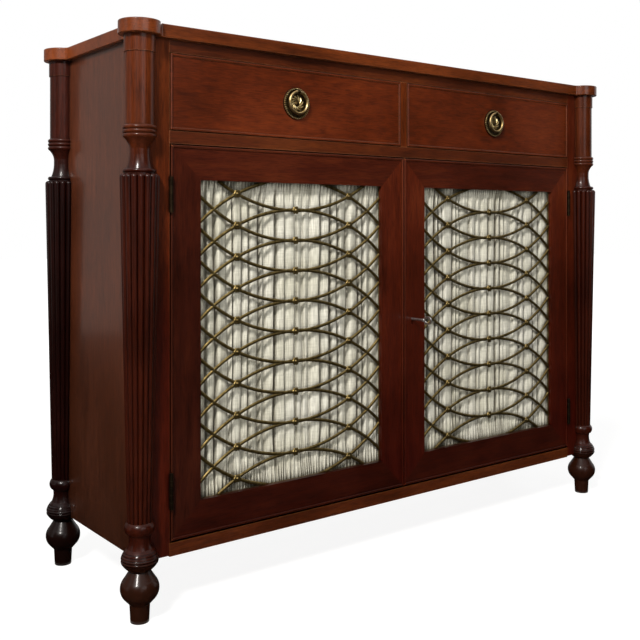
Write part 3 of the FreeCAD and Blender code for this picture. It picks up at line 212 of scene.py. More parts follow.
def scored_foot(tree, place, colour, bump, brown):
    """Fine dirty lines round the lowest ring, and brown on all that is below it."""
    height = add(tree, "ShaderNodeSeparateXYZ", Vector=place).outputs["Z"]
    browned = add(tree, "ShaderNodeMapRange", i0=height, i1=SCORE_TOP, i2=SCORE_FOOT, i4=FOOT_BROWNING)
    colour = add(tree, "ShaderNodeMix", MIX, i0=browned.outputs["Result"], i6=colour,
                 i7=linear(brown)).outputs[2]
    turns = add(tree, "ShaderNodeMath", MULTIPLY, i0=height, i1=math.tau / SCORE_PITCH).outputs["Value"]
    wave = add(tree, "ShaderNodeMath", {"operation": "SINE"}, i0=turns).outputs["Value"]
    under = add(tree, "ShaderNodeMath", {"operation": "LESS_THAN"}, i0=height, i1=SCORE_TOP)
    over = add(tree, "ShaderNodeMath", {"operation": "GREATER_THAN"}, i0=height, i1=SCORE_FOOT)
    inside = add(tree, "ShaderNodeMath", MULTIPLY, i0=under.outputs["Value"], i1=over.outputs["Value"])
    line = add(tree, "ShaderNodeMath", MULTIPLY, i0=wave, i1=inside.outputs["Value"]).outputs["Value"]
    dirt = add(tree, "ShaderNodeMapRange", i0=line, i1=0.0, i2=-0.9, i4=0.75).outputs["Result"]
    colour = add(tree, "ShaderNodeMix", MIX, i0=dirt, i6=colour, i7=linear(SHADE_AND_WAX)).outputs[2]
    bump = add(tree, "ShaderNodeBump", Strength=0.8, Distance=SCORE_DEPTH, Height=line,
               Normal=bump).outputs["Normal"]
    return colour, bump


def mahogany(name, grain, colours, gloss=0.30, shine=0.22, polish=0.2, hollow=10 * MM,
             shade_below=None, joined=False, foot=None, figure=BAND_ALONG):
    """French-polished mahogany with its grain along X or Z.

    The four colours run from the darkest band to the pale edge, which is partly wear and partly
    painted highlight. A figure near 1 gives mottled wood, a small one straight grain. The low tint
    argument is a low height, a high one, and the tint of the wood below them: painted shade towards
    the floor, with a shift of hue. Hollows, as far as hollow reaches, are painted dark as shade. A
    joined piece has tight joints in its face, where no edge is painted pale. A piece with a foot
    is scored with lines round its lowest ring, and foot is the brown below it."""
    dark, middle, light, edge_colour = colours
    made, tree, shader = new_material(name, IOR=SHELLAC_IOR, Specular_IOR_Level=shine,
                                      Coat_Weight=polish, Coat_Roughness=0.12, Coat_IOR=SHELLAC_IOR)
    place = add(tree, "ShaderNodeTexCoord").outputs["Object"]
    stretched = along_grain(tree, place, grain, figure)
    fine = along_grain(tree, place, grain, PORE_ALONG)
    growth = add(tree, "ShaderNodeTexNoise", Vector=stretched, Scale=1 / BAND_WIDTH, Detail=5,
                 Roughness=0.62, Distortion=0.35).outputs["Fac"]
    patch = add(tree, "ShaderNodeTexNoise", Vector=place, Scale=1 / PATCH_WIDTH, Detail=2).outputs["Fac"]
    pores = add(tree, "ShaderNodeTexNoise", Vector=fine, Scale=1 / PORE_WIDTH, Detail=2,
                Roughness=0.7).outputs["Fac"]
    bands = add(tree, "ShaderNodeMath", MULTIPLY, i0=growth, i1=BAND_SHARE).outputs["Value"]
    tone = add(tree, "ShaderNodeMath", MULTIPLY_ADD, i0=patch, i1=PATCH_SHARE, i2=bands).outputs["Value"]
    wood = ramp(tree, tone, [(0.26, dark), (0.45, middle), (0.66, light)])
    streak = ramp(tree, pores, [(0.34, "858585"), (0.56, "ffffff")])
    body = add(tree, "ShaderNodeMix", TINT, i0=0.55, i6=wood, i7=streak).outputs[2]
    # the pale edges are partly wear and partly painted highlight
    pale_edge = edge_mask(tree, EDGE_WIDTH, EDGE_WEAR_AND_HIGHLIGHT)
    if joined:
        pale_edge = only_ahead(tree, place, pale_edge)
    colour = add(tree, "ShaderNodeMix", MIX, i0=pale_edge, i6=body, i7=linear(edge_colour)).outputs[2]
    # painted shade: what the occlusion node finds hollow is darkened towards nearly black
    open_air = add(tree, "ShaderNodeAmbientOcclusion", {"samples": 6}, Distance=hollow).outputs["AO"]
    hollow_shade = add(tree, "ShaderNodeMapRange", i0=open_air, i1=0.85, i2=0.35, i4=0.85).outputs["Result"]
    colour = add(tree, "ShaderNodeMix", MIX, i0=hollow_shade, i6=colour, i7=linear(SHADE_AND_WAX)).outputs[2]
    # painted shade towards the floor: below a given height the wood is tinted darker
    if shade_below:
        colour = tint_low_shade(tree, place, colour, *shade_below)
    dull = add(tree, "ShaderNodeMapRange", {"interpolation_type": "SMOOTHSTEP"}, i0=patch, i1=0.2,
               i2=0.8, i3=gloss, i4=gloss + 0.12)
    tree.links.new(dull.outputs["Result"], shader.inputs["Roughness"])
    bump = add(tree, "ShaderNodeBump", Strength=0.25, Distance=PORE_DEPTH, Height=pores).outputs["Normal"]
    if foot:
        colour, bump = scored_foot(tree, place, colour, bump, foot)
    tree.links.new(colour, shader.inputs["Base Color"])
    tree.links.new(bump, shader.inputs["Normal"])
    return made


print("mahogany: the case's face is at", round(FACE, 4))

# %% [markdown]
# The photograph shows a different brown on nearly every part. The top, the rails and the
# drawers have faded to a warm red brown, the doors have stayed deep red, and the left side
# has gone greyish. So each kind of part has four colours of its own, and most are painted
# darker below a given height, as shade towards the floor, with a shift of hue. On the columns
# that painted shade covers the reeds. Some parts take darker copies, as painted shade.

# %% The mahogany of each part
door_colours = ("230a03", "3f1508", "57230d", "94532f")
upright_colours = ("2d0e05", "4e1b0a", "692d13", "94532f")
shaded_colours = ("1c0602", "2f0d04", "431507", "6a3a24")
rail_colours = ("2c1005", "4c1f0a", "66300f", "8a5a3a")
drawer_colours = ("301004", "551f07", "702e0d", "8e5632")
column_colours = ("2e1004", "4f2009", "6b300e", "875338")
stile_colours = ("341405", "5a250a", "783510", "8a5a3a")
top_colours = ("311307", "602b0e", "7e3b15", "9d6842")
side_colours = ("3a1a0d", "4b2413", "5f301c", "7d5040")
REEDS_TOP = 0.69
BEADS_TOP = 0.76

door_upright = mahogany("mahogany_door_upright", "Z", upright_colours, shine=0.13, polish=0.1,
                        joined=True, shade_below=(0.15, 0.7, "b37e5c"))
door_level = mahogany("mahogany_door_level", "X", door_colours, shine=0.13, polish=0.1,
                      joined=True, shade_below=(0.15, 0.5, "bfa07c"))
# the left door's hinge stile is painted darker below its top, as the shadow of the column
shaded_upright = mahogany("mahogany_shaded_upright", "Z", door_colours, shine=0.13, polish=0.1,
                          joined=True, shade_below=(0.55, 0.76, "c5bfb6"))
stile_upright = mahogany("mahogany_stile_upright", "Z", stile_colours, shine=0.13, polish=0.1,
                         shade_below=(0.45, 0.8, "ae7b60"))
rail_level = mahogany("mahogany_rail_level", "X", rail_colours, shade_below=(0.15, 0.5, "ecdf80"))
side_upright = mahogany("mahogany_side", "Z", side_colours, gloss=0.29, polish=0.45,
                        shade_below=(0.05, 0.5, "a6a79c"))
drawer_level = mahogany("mahogany_drawer_front", "X", drawer_colours, figure=0.28)
turned = mahogany("mahogany_turned", "Z", column_colours, shine=0.12, polish=0.12, hollow=14 * MM,
                  shade_below=(REEDS_TOP, BEADS_TOP, "9e8070"), foot="1f0e05")
# the rear columns take a darker copy of the turned finish, with a darker foot: painted shade
turned_shaded = mahogany("mahogany_turned_rear", "Z", shaded_colours, shine=0.12, polish=0.12,
                       hollow=14 * MM, shade_below=(REEDS_TOP, BEADS_TOP, "90756a"), foot="0e0402")
top_level = mahogany("mahogany_top", "X", top_colours, gloss=0.29)

dress(top_level, "table_top")
dress(turned, "column_front_left", "column_front_right")
dress(turned_shaded, "column_rear_left", "column_rear_right")
dress(side_upright, "side_panel_left", "side_panel_right")
dress(stile_upright, "front_stile_left", "drawer_divider")
dress(shaded_upright, "door_left_hinge_stile")
dress(rail_level, "top_rail", "middle_rail", "bottom_rail")
dress(door_upright, "door_left_meeting_stile", "door_right_meeting_stile", "door_right_hinge_stile")
# the right front stile takes the darker door finish: painted shade
dress(door_upright, "front_stile_right")
for hand in ("left", "right"):
    dress(door_level, "door_%s_top_rail" % hand, "door_%s_bottom_rail" % hand)
    dress(drawer_level, "drawer_%s_front" % hand)
print("mahogany on the case, doors and drawers")

# %% [markdown]
# What does not show in a closed room is cheaper wood, left bare: pine for the back, shelf and
# boards, and oak for the drawer sides. Bare wood is dull, paler, and has gone brown with age.

# %% Bare pine and oak
PLANED_ALONG = 0.06
PLANED_DEPTH = 0.3 * MM


def bare_wood(name, grain, dark, light, band):
    """Planed and never polished, so no coat over it."""
    made, tree, shader = new_material(name, IOR=1.5)
    place = add(tree, "ShaderNodeTexCoord").outputs["Object"]
    stretched = along_grain(tree, place, grain, PLANED_ALONG)
    growth = add(tree, "ShaderNodeTexNoise", Vector=stretched, Scale=1 / band, Detail=5, Roughness=0.6,
                 Distortion=0.5).outputs["Fac"]
    stain = add(tree, "ShaderNodeTexNoise", Vector=place, Scale=7, Detail=4).outputs["Fac"]
    tone = add(tree, "ShaderNodeMath", MULTIPLY_ADD, i0=stain, i1=0.4, i2=growth).outputs["Value"]
    wood = ramp(tree, tone, [(0.5, dark), (0.9, light)])
    tree.links.new(wood, shader.inputs["Base Color"])
    dry = add(tree, "ShaderNodeMapRange", i0=growth, i1=0.3, i2=0.7, i3=0.62, i4=0.78)
    tree.links.new(dry.outputs["Result"], shader.inputs["Roughness"])
    bump = add(tree, "ShaderNodeBump", Strength=0.4, Distance=PLANED_DEPTH, Height=growth).outputs["Normal"]
    tree.links.new(bump, shader.inputs["Normal"])
    return made


pine_level = bare_wood("pine_boards_level", "X", "5b4028", "8d6a44", 14 * MM)
pine_upright = bare_wood("pine_boards_upright", "Z", "553819", "86603a", 14 * MM)
oak_long = bare_wood("oak_drawer_linings", "Y", "6a4a2a", "a07c50", 6 * MM)
oak_level = bare_wood("oak_drawer_bottoms", "X", "6a4a2a", "a07c50", 6 * MM)
dress(pine_level, "bottom_board", "dust_board", "top_back_rail", "shelf")
dress(pine_upright, "back_panel")
dress(oak_long, "shelf_battens", "drawer_stops")
dress(oak_long, "drawer_guide_left", "drawer_guide_right", "drawer_guide_centre")
for hand in ("left", "right"):
    dress(oak_long, "drawer_%s_outer_side" % hand, "drawer_%s_inner_side" % hand)
    dress(oak_level, "drawer_%s_back" % hand, "drawer_%s_bottom" % hand)
print("bare wood inside")

# %% [markdown]
# Five brasses and one steel. The lattice is old brass that has gone a dull olive brown. The
# pulls were cast, gilded with lacquer and handled for two centuries, so their rings are bright
# where fingers rub, their raised leaves and beads brighter still, and the flat of the plate
# nearly black; the occlusion node finds the hollows that hold dirt. The hinges and bolts were
# never polished. A metal has no colour but its reflection, so Metallic is 1, its IOR is left
# alone, and age comes from colour and roughness.

# %% Brass and steel
DIRT = "1a130a"
PITTING = 0.1 * MM


def aged_metal(name, bright, tarnished, patch, smooth, rough, hollow=None):
    """Metal with patches of tarnish, and dirt in its hollows where hollow gives their depth."""
    made, tree, shader = new_material(name, Metallic=1.0)
    place = add(tree, "ShaderNodeTexCoord").outputs["Object"]
    blotch = add(tree, "ShaderNodeTexNoise", Vector=place, Scale=1 / patch, Detail=4,
                 Roughness=0.6).outputs["Fac"]
    colour = ramp(tree, blotch, [(0.35, tarnished), (0.65, bright)])
    if hollow:
        open_air = add(tree, "ShaderNodeAmbientOcclusion", {"samples": 6}, Distance=hollow).outputs["AO"]
        clean_and_unshaded = add(tree, "ShaderNodeMapRange", i0=open_air, i1=0.35, i2=0.85).outputs["Result"]
        colour = add(tree, "ShaderNodeMix", MIX, i0=clean_and_unshaded, i6=linear(DIRT), i7=colour).outputs[2]
    tree.links.new(colour, shader.inputs["Base Color"])
    sheen = add(tree, "ShaderNodeMapRange", i0=blotch, i1=0.3, i2=0.7, i3=rough, i4=smooth)
    tree.links.new(sheen.outputs["Result"], shader.inputs["Roughness"])
    bump = add(tree, "ShaderNodeBump", Strength=0.2, Distance=PITTING, Height=blotch).outputs["Normal"]
    tree.links.new(bump, shader.inputs["Normal"])
    return made


lattice_brass = aged_metal("brass_lattice_tarnished", "8b784b", "584929", 9 * MM, 0.38, 0.55)
pull_brass = aged_metal("brass_pull_lacquered", "ccb384", "8a7142", 5 * MM, 0.33, 0.46, hollow=5 * MM)
plate_brass = aged_metal("brass_plate_blackened", "5a482a", "21180e", 3 * MM, 0.46, 0.6, hollow=5 * MM)
relief_brass = aged_metal("brass_relief_rubbed", "e6d3a0", "ae9560", 3 * MM, 0.36, 0.5, hollow=1.3 * MM)
dull_brass = aged_metal("brass_hinge_dull", "33281b", "1a140e", 8 * MM, 0.5, 0.68)
worn_steel = aged_metal("steel_key_worn", "efedeb", "b8b5b2", 4 * MM, 0.3, 0.42)
for hand in ("left", "right"):
    dress(lattice_brass, "door_%s_lattice" % hand)
    dress(plate_brass, "drawer_%s_pull_plate" % hand)
    dress(pull_brass, "pull_ring_%s" % hand)
    dress(dull_brass, "door_%s_hinge_leaves" % hand, "door_%s_silk_rods" % hand)
dress(dull_brass, "hinge_leaves_case", "hinge_pins", "door_bolt_upper", "door_bolt_lower", "lock_case")
dress(worn_steel, "key", "lock_bolt")
print("metals on lattice, pulls, hinges, bolts, lock and key")

# %% [markdown]
# New pieces are plain meshes made from lists of points and faces. A piece belongs to the body
# that carries it, so it swings or slides with its door or drawer.

# %% A helper for new pieces
def new_piece(name, points, faces, material, body):
    """Makes a mesh object that moves with a body of the cupboard."""
    mesh = bpy.data.meshes.new(name)
    mesh.from_pydata([tuple(p) for p in points], [], faces)
    mesh.update()
    piece = bpy.data.objects.new(name, mesh)
    bpy.context.scene.collection.objects.link(piece)
    mesh.materials.append(material)
    mesh.shade_smooth()
    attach(piece, body)
    print(name, len(points), "points on", body)
    return piece


# %% [markdown]
# The lattice is cast brass. Each bar is a quarter of a big circle, flat behind and rounded in
# front, and where the arcs touch or cross sits a little rosette that hides the joint. The
# solids have the flat net of bars; this step lays a rounded face on each bar, a little wider
# than the bar behind it, and a rosette on the touching points in the middle and on the first
# crossings at each side. The places follow from the radius of the arcs and the spacing of the
# rows.

# %% Lattice bars and rosettes
ARC_RADIUS = 281 * MM
BAR_WIDTH = 5.6 * MM
BAR_DEPTH = 2.5 * MM
BAR_RISE = 1.5 * MM
BAR_STEPS = 72
BAR_PROFILE = 5
ARC_OVERLAP = 0.7 * MM
BORDER = 5 * MM
OVERHANG = 6 * MM
ROWS = 10
ROSETTE_RADIUS = 6.9 * MM
ROSETTE_RISE = 3.4 * MM
ROSETTE_SEAT = 0.5 * MM
ROSETTE_RINGS = ((1.0, 0.0), (0.97, 0.35), (0.62, 0.62), (0.42, 0.30), (0.34, 0.62), (0.18, 0.95))
PETALS = 6
PETAL_DEPTH = 0.12


def opening_of(hand):
    """The lattice's window: its two sides, its foot and head, and the front of its bars."""
    low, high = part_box("door_%s_lattice" % hand)
    return low[0] + BORDER, high[0] - BORDER, low[2] + BORDER, high[2] - BORDER, high[1] - BAR_DEPTH


def bar_ridge(points, faces, centre_x, level, hangs, sides, ends, front):
    """A half-round strip along one arc, trimmed to the window. An arc hangs, or stands as a bow."""
    way = 1 if hangs else -1
    centre_z = level + way * (ARC_RADIUS - ARC_OVERLAP)
    half = (sides[1] - sides[0]) / 2
    row = None
    for step in range(BAR_STEPS + 1):
        across = -half + 2 * half * step / BAR_STEPS
        turn = math.asin(across / ARC_RADIUS)
        out = Vector((math.sin(turn), 0, -way * math.cos(turn)))
        middle = Vector((centre_x, front, centre_z)) + out * ARC_RADIUS
        if not ends[0] < middle.z < ends[1]:
            row = None
            continue
        start = len(points)
        for k in range(BAR_PROFILE):
            angle = math.pi * k / (BAR_PROFILE - 1)
            reach = math.cos(angle) * BAR_WIDTH / 2
            points.append(middle + out * reach + Vector((0, -math.sin(angle) * BAR_RISE, 0)))
        if row is not None:
            faces += [(row + k, row + k + 1, start + k + 1, start + k) for k in range(BAR_PROFILE - 1)]
        row = start


def rosette(points, faces, centre):
    """A boss with petals and a bead in its middle, raised towards the viewer.

    Its rings are shares of its radius and rise, and only the outer ones follow the petals."""
    sides = PETALS * 4
    start = len(points)
    for share, rise in ROSETTE_RINGS:
        for k in range(sides):
            turn = 2 * math.pi * k / sides
            lobe = 1 + PETAL_DEPTH * math.cos(PETALS * turn) * (share > 0.5)
            spread = ROSETTE_RADIUS * share * lobe
            place = Vector((math.cos(turn) * spread, -rise * ROSETTE_RISE, math.sin(turn) * spread))
            points.append(centre + place)
    for ring in range(len(ROSETTE_RINGS) - 1):
        for k in range(sides):
            a, b = start + ring * sides + k, start + ring * sides + (k + 1) % sides
            faces.append((a, b, b + sides, a + sides))
    points.append(centre + Vector((0, -ROSETTE_RISE, 0)))
    last = start + (len(ROSETTE_RINGS) - 1) * sides
    faces += [(last + k, last + (k + 1) % sides, len(points) - 1) for k in range(sides)]


for hand in ("left", "right"):
    left, right, foot, head, front = opening_of(hand)
    middle_x, start = (left + right) / 2, foot - OVERHANG
    pitch = (head - foot + 2 * OVERHANG) / ROWS
    points, faces = [], []
    window = (left, right), (foot, head)
    for row in range(ROWS):
        bar_ridge(points, faces, middle_x, start + row * pitch, True, *window, front)
        bar_ridge(points, faces, middle_x, start + (row + 1) * pitch, False, *window, front)
    new_piece("lattice_backs_" + hand, points, faces, lattice_brass, "door_" + hand)
    points, faces = [], []
    aside = math.sqrt(ARC_RADIUS ** 2 - (ARC_RADIUS - ARC_OVERLAP - pitch / 2) ** 2)
    seat = front - ROSETTE_SEAT
    for row in range(1, ROWS):
        rosette(points, faces, Vector((middle_x, seat, start + row * pitch)))
    for row in range(ROWS):
        for way in (-1, 1):
            rosette(points, faces, Vector((middle_x + way * aside, seat, start + (row + 0.5) * pitch)))
    new_piece("lattice_rosettes_" + hand, points, faces, lattice_brass, "door_" + hand)

# %% [markdown]
# Behind each lattice hangs a panel of thin silk, cut much wider than the door and drawn
# together on a brass rod at the top and another at the bottom. Such cloth does not fall in
# even waves. It lies in broad flat faces, each a little tilted, with narrow dark folds
# between them, and near the rods it breaks up into small tight gathers. The cloth here is a
# grid. Each row of it is drawn as a chain of faces and folds whose places, tilts and depths
# wander slowly on the way up; close to the rods a run of small waves takes over. The two
# selvedges lie close to the lattice, so that no light comes past them. Each pair of numbers
# below with VARY in its name says how much a measure differs from pleat to pleat, and how
# much it wanders within one.

# %% Pleated silk
SILK_ROWS = 120
PLEATS = 21
PLEAT_STEPS = 30
GATHERS = 66
FRONT_GAP = 0.6 * MM
FACE_BACK = 5.5 * MM
FOLD_DEPTH = 8.5 * MM
GATHER_DEPTH = 2.9 * MM
GATHER_SHIFT = 0.018
SELVEDGE_BACK = 1.5 * MM
FACE_CROWN = 0.6 * MM
PLEAT_KNOTS = (0, 0.2, 0.45, 0.7, 1)
OPEN_SHARE = 0.4
OPEN_LIMITS = (0.15, 0.65)
WIDTH_SPREAD = 0.6
EDGE_VARY = (0, 2.6 * MM)
FACE_VARY = (2.2 * MM, 0.8 * MM)
TILT_VARY = (2.6 * MM, 1.0 * MM)
FOLD_VARY = (3.0 * MM, 1.2 * MM)
OPEN_VARY = (0.16, 0.05)
LEAN_VARY = (2.0 * MM, 0.6 * MM)
FOOT_REACH = 42 * MM
HEAD_REACH = 26 * MM
RIPPLE_REACH = 85 * MM
WARP_WIDTH = 1.1 * MM
WEFT_WIDTH = 1.3 * MM
SLUB_DEPTH = 0.25 * MM
# the silk's folds are painted darker as shade, as far as the reach below
FOLD_SHADE_REACH = 11 * MM
FOLD_SHADE = "4d4637"


def smooth_noise(rng, count, knots):
    """A smooth random curve through a number of knots, between -1 and 1."""
    values = rng.uniform(-1, 1, knots + 3)
    place = np.linspace(0, knots, count)
    whole = np.floor(place).astype(int)
    part = place - whole
    part = part * part * (3 - 2 * part)
    return values[whole] * (1 - part) + values[whole + 1] * part


def wandering(rng, count, middle, spread, wander):
    """One value for each fold and row: it starts anywhere in the spread and wanders upwards."""
    start = middle + spread * rng.uniform(-1, 1, count)
    walk = np.stack([smooth_noise(rng, SILK_ROWS, 5) for _ in range(count)], axis=1)
    return start + wander * walk


def soften(values, reach):
    """Rounds the corners of a chain of points."""
    weights = np.exp(-0.5 * (np.arange(-3 * reach, 3 * reach + 1) / reach) ** 2)
    padded = np.pad(values, 3 * reach, mode="edge")
    return np.convolve(padded, weights / weights.sum(), mode="valid")


def nearness(distance, reach):
    """One at a rod, fading to nothing a few reaches away."""
    return math.exp(-((distance / reach) ** 2))


def row_of_pleats(edge_x, face, tilt, fold, open_share, lean):
    """One row of the cloth: how far across and how far back each of its points lies."""
    steps = np.linspace(0, 1, PLEAT_STEPS, endpoint=False)
    x_chain, y_chain = [], []
    for k in range(PLEATS):
        left, right = edge_x[k], edge_x[k + 1]
        half_fold = open_share[k] * (right - left) / 2
        xs = (left + lean[k], left + half_fold, (left + right) / 2, right - half_fold, right + lean[k + 1])
        ys = (fold[k], face[k] - tilt[k], face[k] - FACE_CROWN, face[k] + tilt[k], fold[k + 1])
        x_chain.append(np.interp(steps, PLEAT_KNOTS, xs))
        y_chain.append(np.interp(steps, PLEAT_KNOTS, ys))
    x = np.concatenate(x_chain + [edge_x[-1:]])
    y = np.concatenate(y_chain + [fold[-1:]])
    return soften(x, 2), soften(y, 2)


def silk_points(hand, seed):
    """Rows of points from foot to head, each row running across the gathered cloth."""
    rng = np.random.default_rng(seed)
    low, high = (np.array(v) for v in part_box("door_%s_silk" % hand))
    rod_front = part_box("door_%s_silk_rods" % hand)[0][1]
    lattice_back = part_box("door_%s_lattice" % hand)[1][1]
    widths = 1 + WIDTH_SPREAD * rng.uniform(-1, 1, PLEATS)
    edges = np.concatenate([[0], np.cumsum(widths)]) / widths.sum()
    edge_x = low[0] + (high[0] - low[0]) * edges + wandering(rng, PLEATS + 1, 0, *EDGE_VARY)
    edge_x[:, 0], edge_x[:, -1] = low[0], high[0]
    face = lattice_back + wandering(rng, PLEATS, FACE_BACK, *FACE_VARY)
    tilt = wandering(rng, PLEATS, 0, *TILT_VARY)
    fold = lattice_back + wandering(rng, PLEATS + 1, FACE_BACK + FOLD_DEPTH, *FOLD_VARY)
    fold[:, 0] = fold[:, -1] = lattice_back + SELVEDGE_BACK
    open_share = np.clip(wandering(rng, PLEATS, OPEN_SHARE, *OPEN_VARY), *OPEN_LIMITS)
    lean = wandering(rng, PLEATS + 1, 0, *LEAN_VARY)
    across = np.linspace(0, 1, PLEATS * PLEAT_STEPS + 1)
    shift = GATHER_SHIFT * soften(rng.uniform(-1, 1, across.size), 8)
    small = np.cos(2 * math.pi * GATHERS * (across + shift))
    uneven = 0.7 + 0.3 * smooth_noise(rng, across.size, GATHERS)
    gathers = GATHER_DEPTH * uneven * small
    rows = []
    for row in range(SILK_ROWS):
        z = low[2] + (high[2] - low[2]) * row / (SILK_ROWS - 1)
        x, y = row_of_pleats(*(part[row] for part in (edge_x, face, tilt, fold, open_share, lean)))
        hold = nearness(z - low[2], FOOT_REACH) + nearness(high[2] - z, HEAD_REACH)
        held_x = np.interp(across * PLEATS, np.arange(PLEATS + 1), edge_x[row])
        held_y = (lattice_back + rod_front) / 2 + gathers
        ripple = 0.5 * gathers * nearness(z - low[2], RIPPLE_REACH)
        x = x * (1 - hold) + held_x * hold
        y = (y + ripple) * (1 - hold) + held_y * hold
        x, y = np.clip(x, low[0], high[0]), np.clip(y, lattice_back + FRONT_GAP, None)
        rows.append(np.stack([x, y, np.full_like(x, z)], axis=1))
    return np.array(rows)


def silk_material():
    """Old ivory silk with the faint upright slubs of its weave."""
    made, tree, shader = new_material("silk_ivory_plain_weave", Roughness=0.55, Sheen_Weight=0.25,
                                      Sheen_Roughness=0.4)
    place = add(tree, "ShaderNodeTexCoord").outputs["Object"]
    upright = add(tree, "ShaderNodeMapping", Vector=place, Scale=(1, 1, 0.04)).outputs["Vector"]
    level = add(tree, "ShaderNodeMapping", Vector=place, Scale=(0.04, 0.04, 1)).outputs["Vector"]
    warp = add(tree, "ShaderNodeTexNoise", Vector=upright, Scale=1 / WARP_WIDTH, Detail=2).outputs["Fac"]
    weft = add(tree, "ShaderNodeTexNoise", Vector=level, Scale=1 / WEFT_WIDTH, Detail=2).outputs["Fac"]
    slub = add(tree, "ShaderNodeMath", MULTIPLY_ADD, i0=weft, i1=0.4, i2=warp).outputs["Value"]
    threads = ramp(tree, slub, [(0.55, "b3b1a4"), (0.85, "dddbce")])
    age = add(tree, "ShaderNodeTexNoise", Vector=place, Scale=9, Detail=3).outputs["Fac"]
    stain = ramp(tree, age, [(0.35, "ecebe4"), (0.65, "ffffff")])
    colour = add(tree, "ShaderNodeMix", TINT, i0=1.0, i6=threads, i7=stain).outputs[2]
    # painted shade: the folds, and the cloth near the frame and bars, darken where the occlusion node finds
    # them
    open_air = add(tree, "ShaderNodeAmbientOcclusion", {"samples": 6}, Distance=FOLD_SHADE_REACH).outputs["AO"]
    clean_and_unshaded = add(tree, "ShaderNodeMapRange", i0=open_air, i1=0.3, i2=0.85).outputs["Result"]
    colour = add(tree, "ShaderNodeMix", MIX, i0=clean_and_unshaded, i6=linear(FOLD_SHADE), i7=colour).outputs[2]
    tree.links.new(colour, shader.inputs["Base Color"])
    bump = add(tree, "ShaderNodeBump", Strength=0.3, Distance=SLUB_DEPTH, Height=slub).outputs["Normal"]
    tree.links.new(bump, shader.inputs["Normal"])
    return made


silk = silk_material()
for hand, seed in (("left", 4), ("right", 11)):
    grid = silk_points(hand, seed)
    rows, columns = grid.shape[:2]
    faces = [
        (r * columns + c, r * columns + c + 1, (r + 1) * columns + c + 1, (r + 1) * columns + c)
        for r in range(rows - 1) for c in range(columns - 1)
    ]
    cloth = new_piece("silk_" + hand, grid.reshape(-1, 3), faces, silk, "door_" + hand)
    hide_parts("door_%s_silk" % hand)

# %% [markdown]
# Each drawer pull is a cast plate: a row of beads round its rim and a whorl of leaves that
# turns round the knob in the middle. The solids have the plate, its rim, its knob and the
# hanging ring. The beads are small balls let into the rim. A leaf is a ridge that starts broad
# beside the knob and curls outwards to a point.

# %% Beads and leaves of the pulls
BEADS = 44
BEAD_RADIUS = 1.5 * MM
BEAD_TURNS = 8
BEAD_LEVELS = 5
RIM_LEVEL = 2.7 * MM
COCK_BEAD = 2 * MM
LEAVES = 11
LEAF_LEVEL = 1.2 * MM
LEAF_START = 5.2 * MM
LEAF_LENGTH = 10.4 * MM
LEAF_CURL = 0.95
LEAF_WIDTH = 2.7 * MM
LEAF_TIP = 0.05 * MM
LEAF_RISE = 2.6 * MM
LEAF_STEPS = 9
LEAF_ACROSS = 5


def ball(points, faces, centre):
    """A small sphere made of rings, open behind, where it is let into the rim."""
    start = len(points)
    for level in range(1, BEAD_LEVELS):
        tilt = math.pi * level / BEAD_LEVELS
        across, ahead = math.sin(tilt) * BEAD_RADIUS, math.cos(tilt) * BEAD_RADIUS
        for k in range(BEAD_TURNS):
            turn = 2 * math.pi * k / BEAD_TURNS
            points.append(centre + Vector((math.cos(turn) * across, -ahead, math.sin(turn) * across)))
    for level in range(BEAD_LEVELS - 2):
        ring = start + level * BEAD_TURNS
        for k in range(BEAD_TURNS):
            a, b = ring + k, ring + (k + 1) % BEAD_TURNS
            faces.append((a, b, b + BEAD_TURNS, a + BEAD_TURNS))
    points.append(centre + Vector((0, -BEAD_RADIUS, 0)))
    faces += [(start + k, start + (k + 1) % BEAD_TURNS, len(points) - 1) for k in range(BEAD_TURNS)]


def leaf(points, faces, centre, turn):
    """A curled ridge that tapers outwards."""
    start = len(points)
    for step in range(LEAF_STEPS):
        t = step / (LEAF_STEPS - 1)
        radius = LEAF_START + LEAF_LENGTH * t
        angle = turn + LEAF_CURL * t ** 0.8
        way = Vector((math.cos(angle), 0, math.sin(angle)))
        side = Vector((-math.sin(angle), 0, math.cos(angle)))
        width = LEAF_WIDTH * math.sin(math.pi * (0.25 + 0.75 * t)) ** 0.7 + LEAF_TIP
        rise = LEAF_RISE * math.sin(math.pi * (0.2 + 0.78 * t))
        for k in range(LEAF_ACROSS):
            u = -1 + 2 * k / (LEAF_ACROSS - 1)
            ridge = Vector((0, -rise * (1 - u * u), 0))
            points.append(centre + way * radius + side * (u * width) + ridge)
    for step in range(LEAF_STEPS - 1):
        for k in range(LEAF_ACROSS - 1):
            a = start + step * LEAF_ACROSS + k
            faces.append((a, a + 1, a + LEAF_ACROSS + 1, a + LEAF_ACROSS))


for hand in ("left", "right"):
    low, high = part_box("drawer_%s_pull_plate" % hand)
    plate_radius = (high[0] - low[0]) / 2
    face_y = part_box("drawer_%s_front" % hand)[0][1] + COCK_BEAD
    centre = Vector(((low[0] + high[0]) / 2, face_y, low[2] + plate_radius))
    rim = plate_radius - BEAD_RADIUS
    points, faces = [], []
    for k in range(BEADS):
        turn = 2 * math.pi * k / BEADS
        ball(points, faces, centre + Vector((math.cos(turn) * rim, -RIM_LEVEL, math.sin(turn) * rim)))
    for k in range(LEAVES):
        leaf(points, faces, centre + Vector((0, -LEAF_LEVEL, 0)), 2 * math.pi * k / LEAVES)
    new_piece("pull_relief_" + hand, points, faces, relief_brass, "drawer_" + hand)

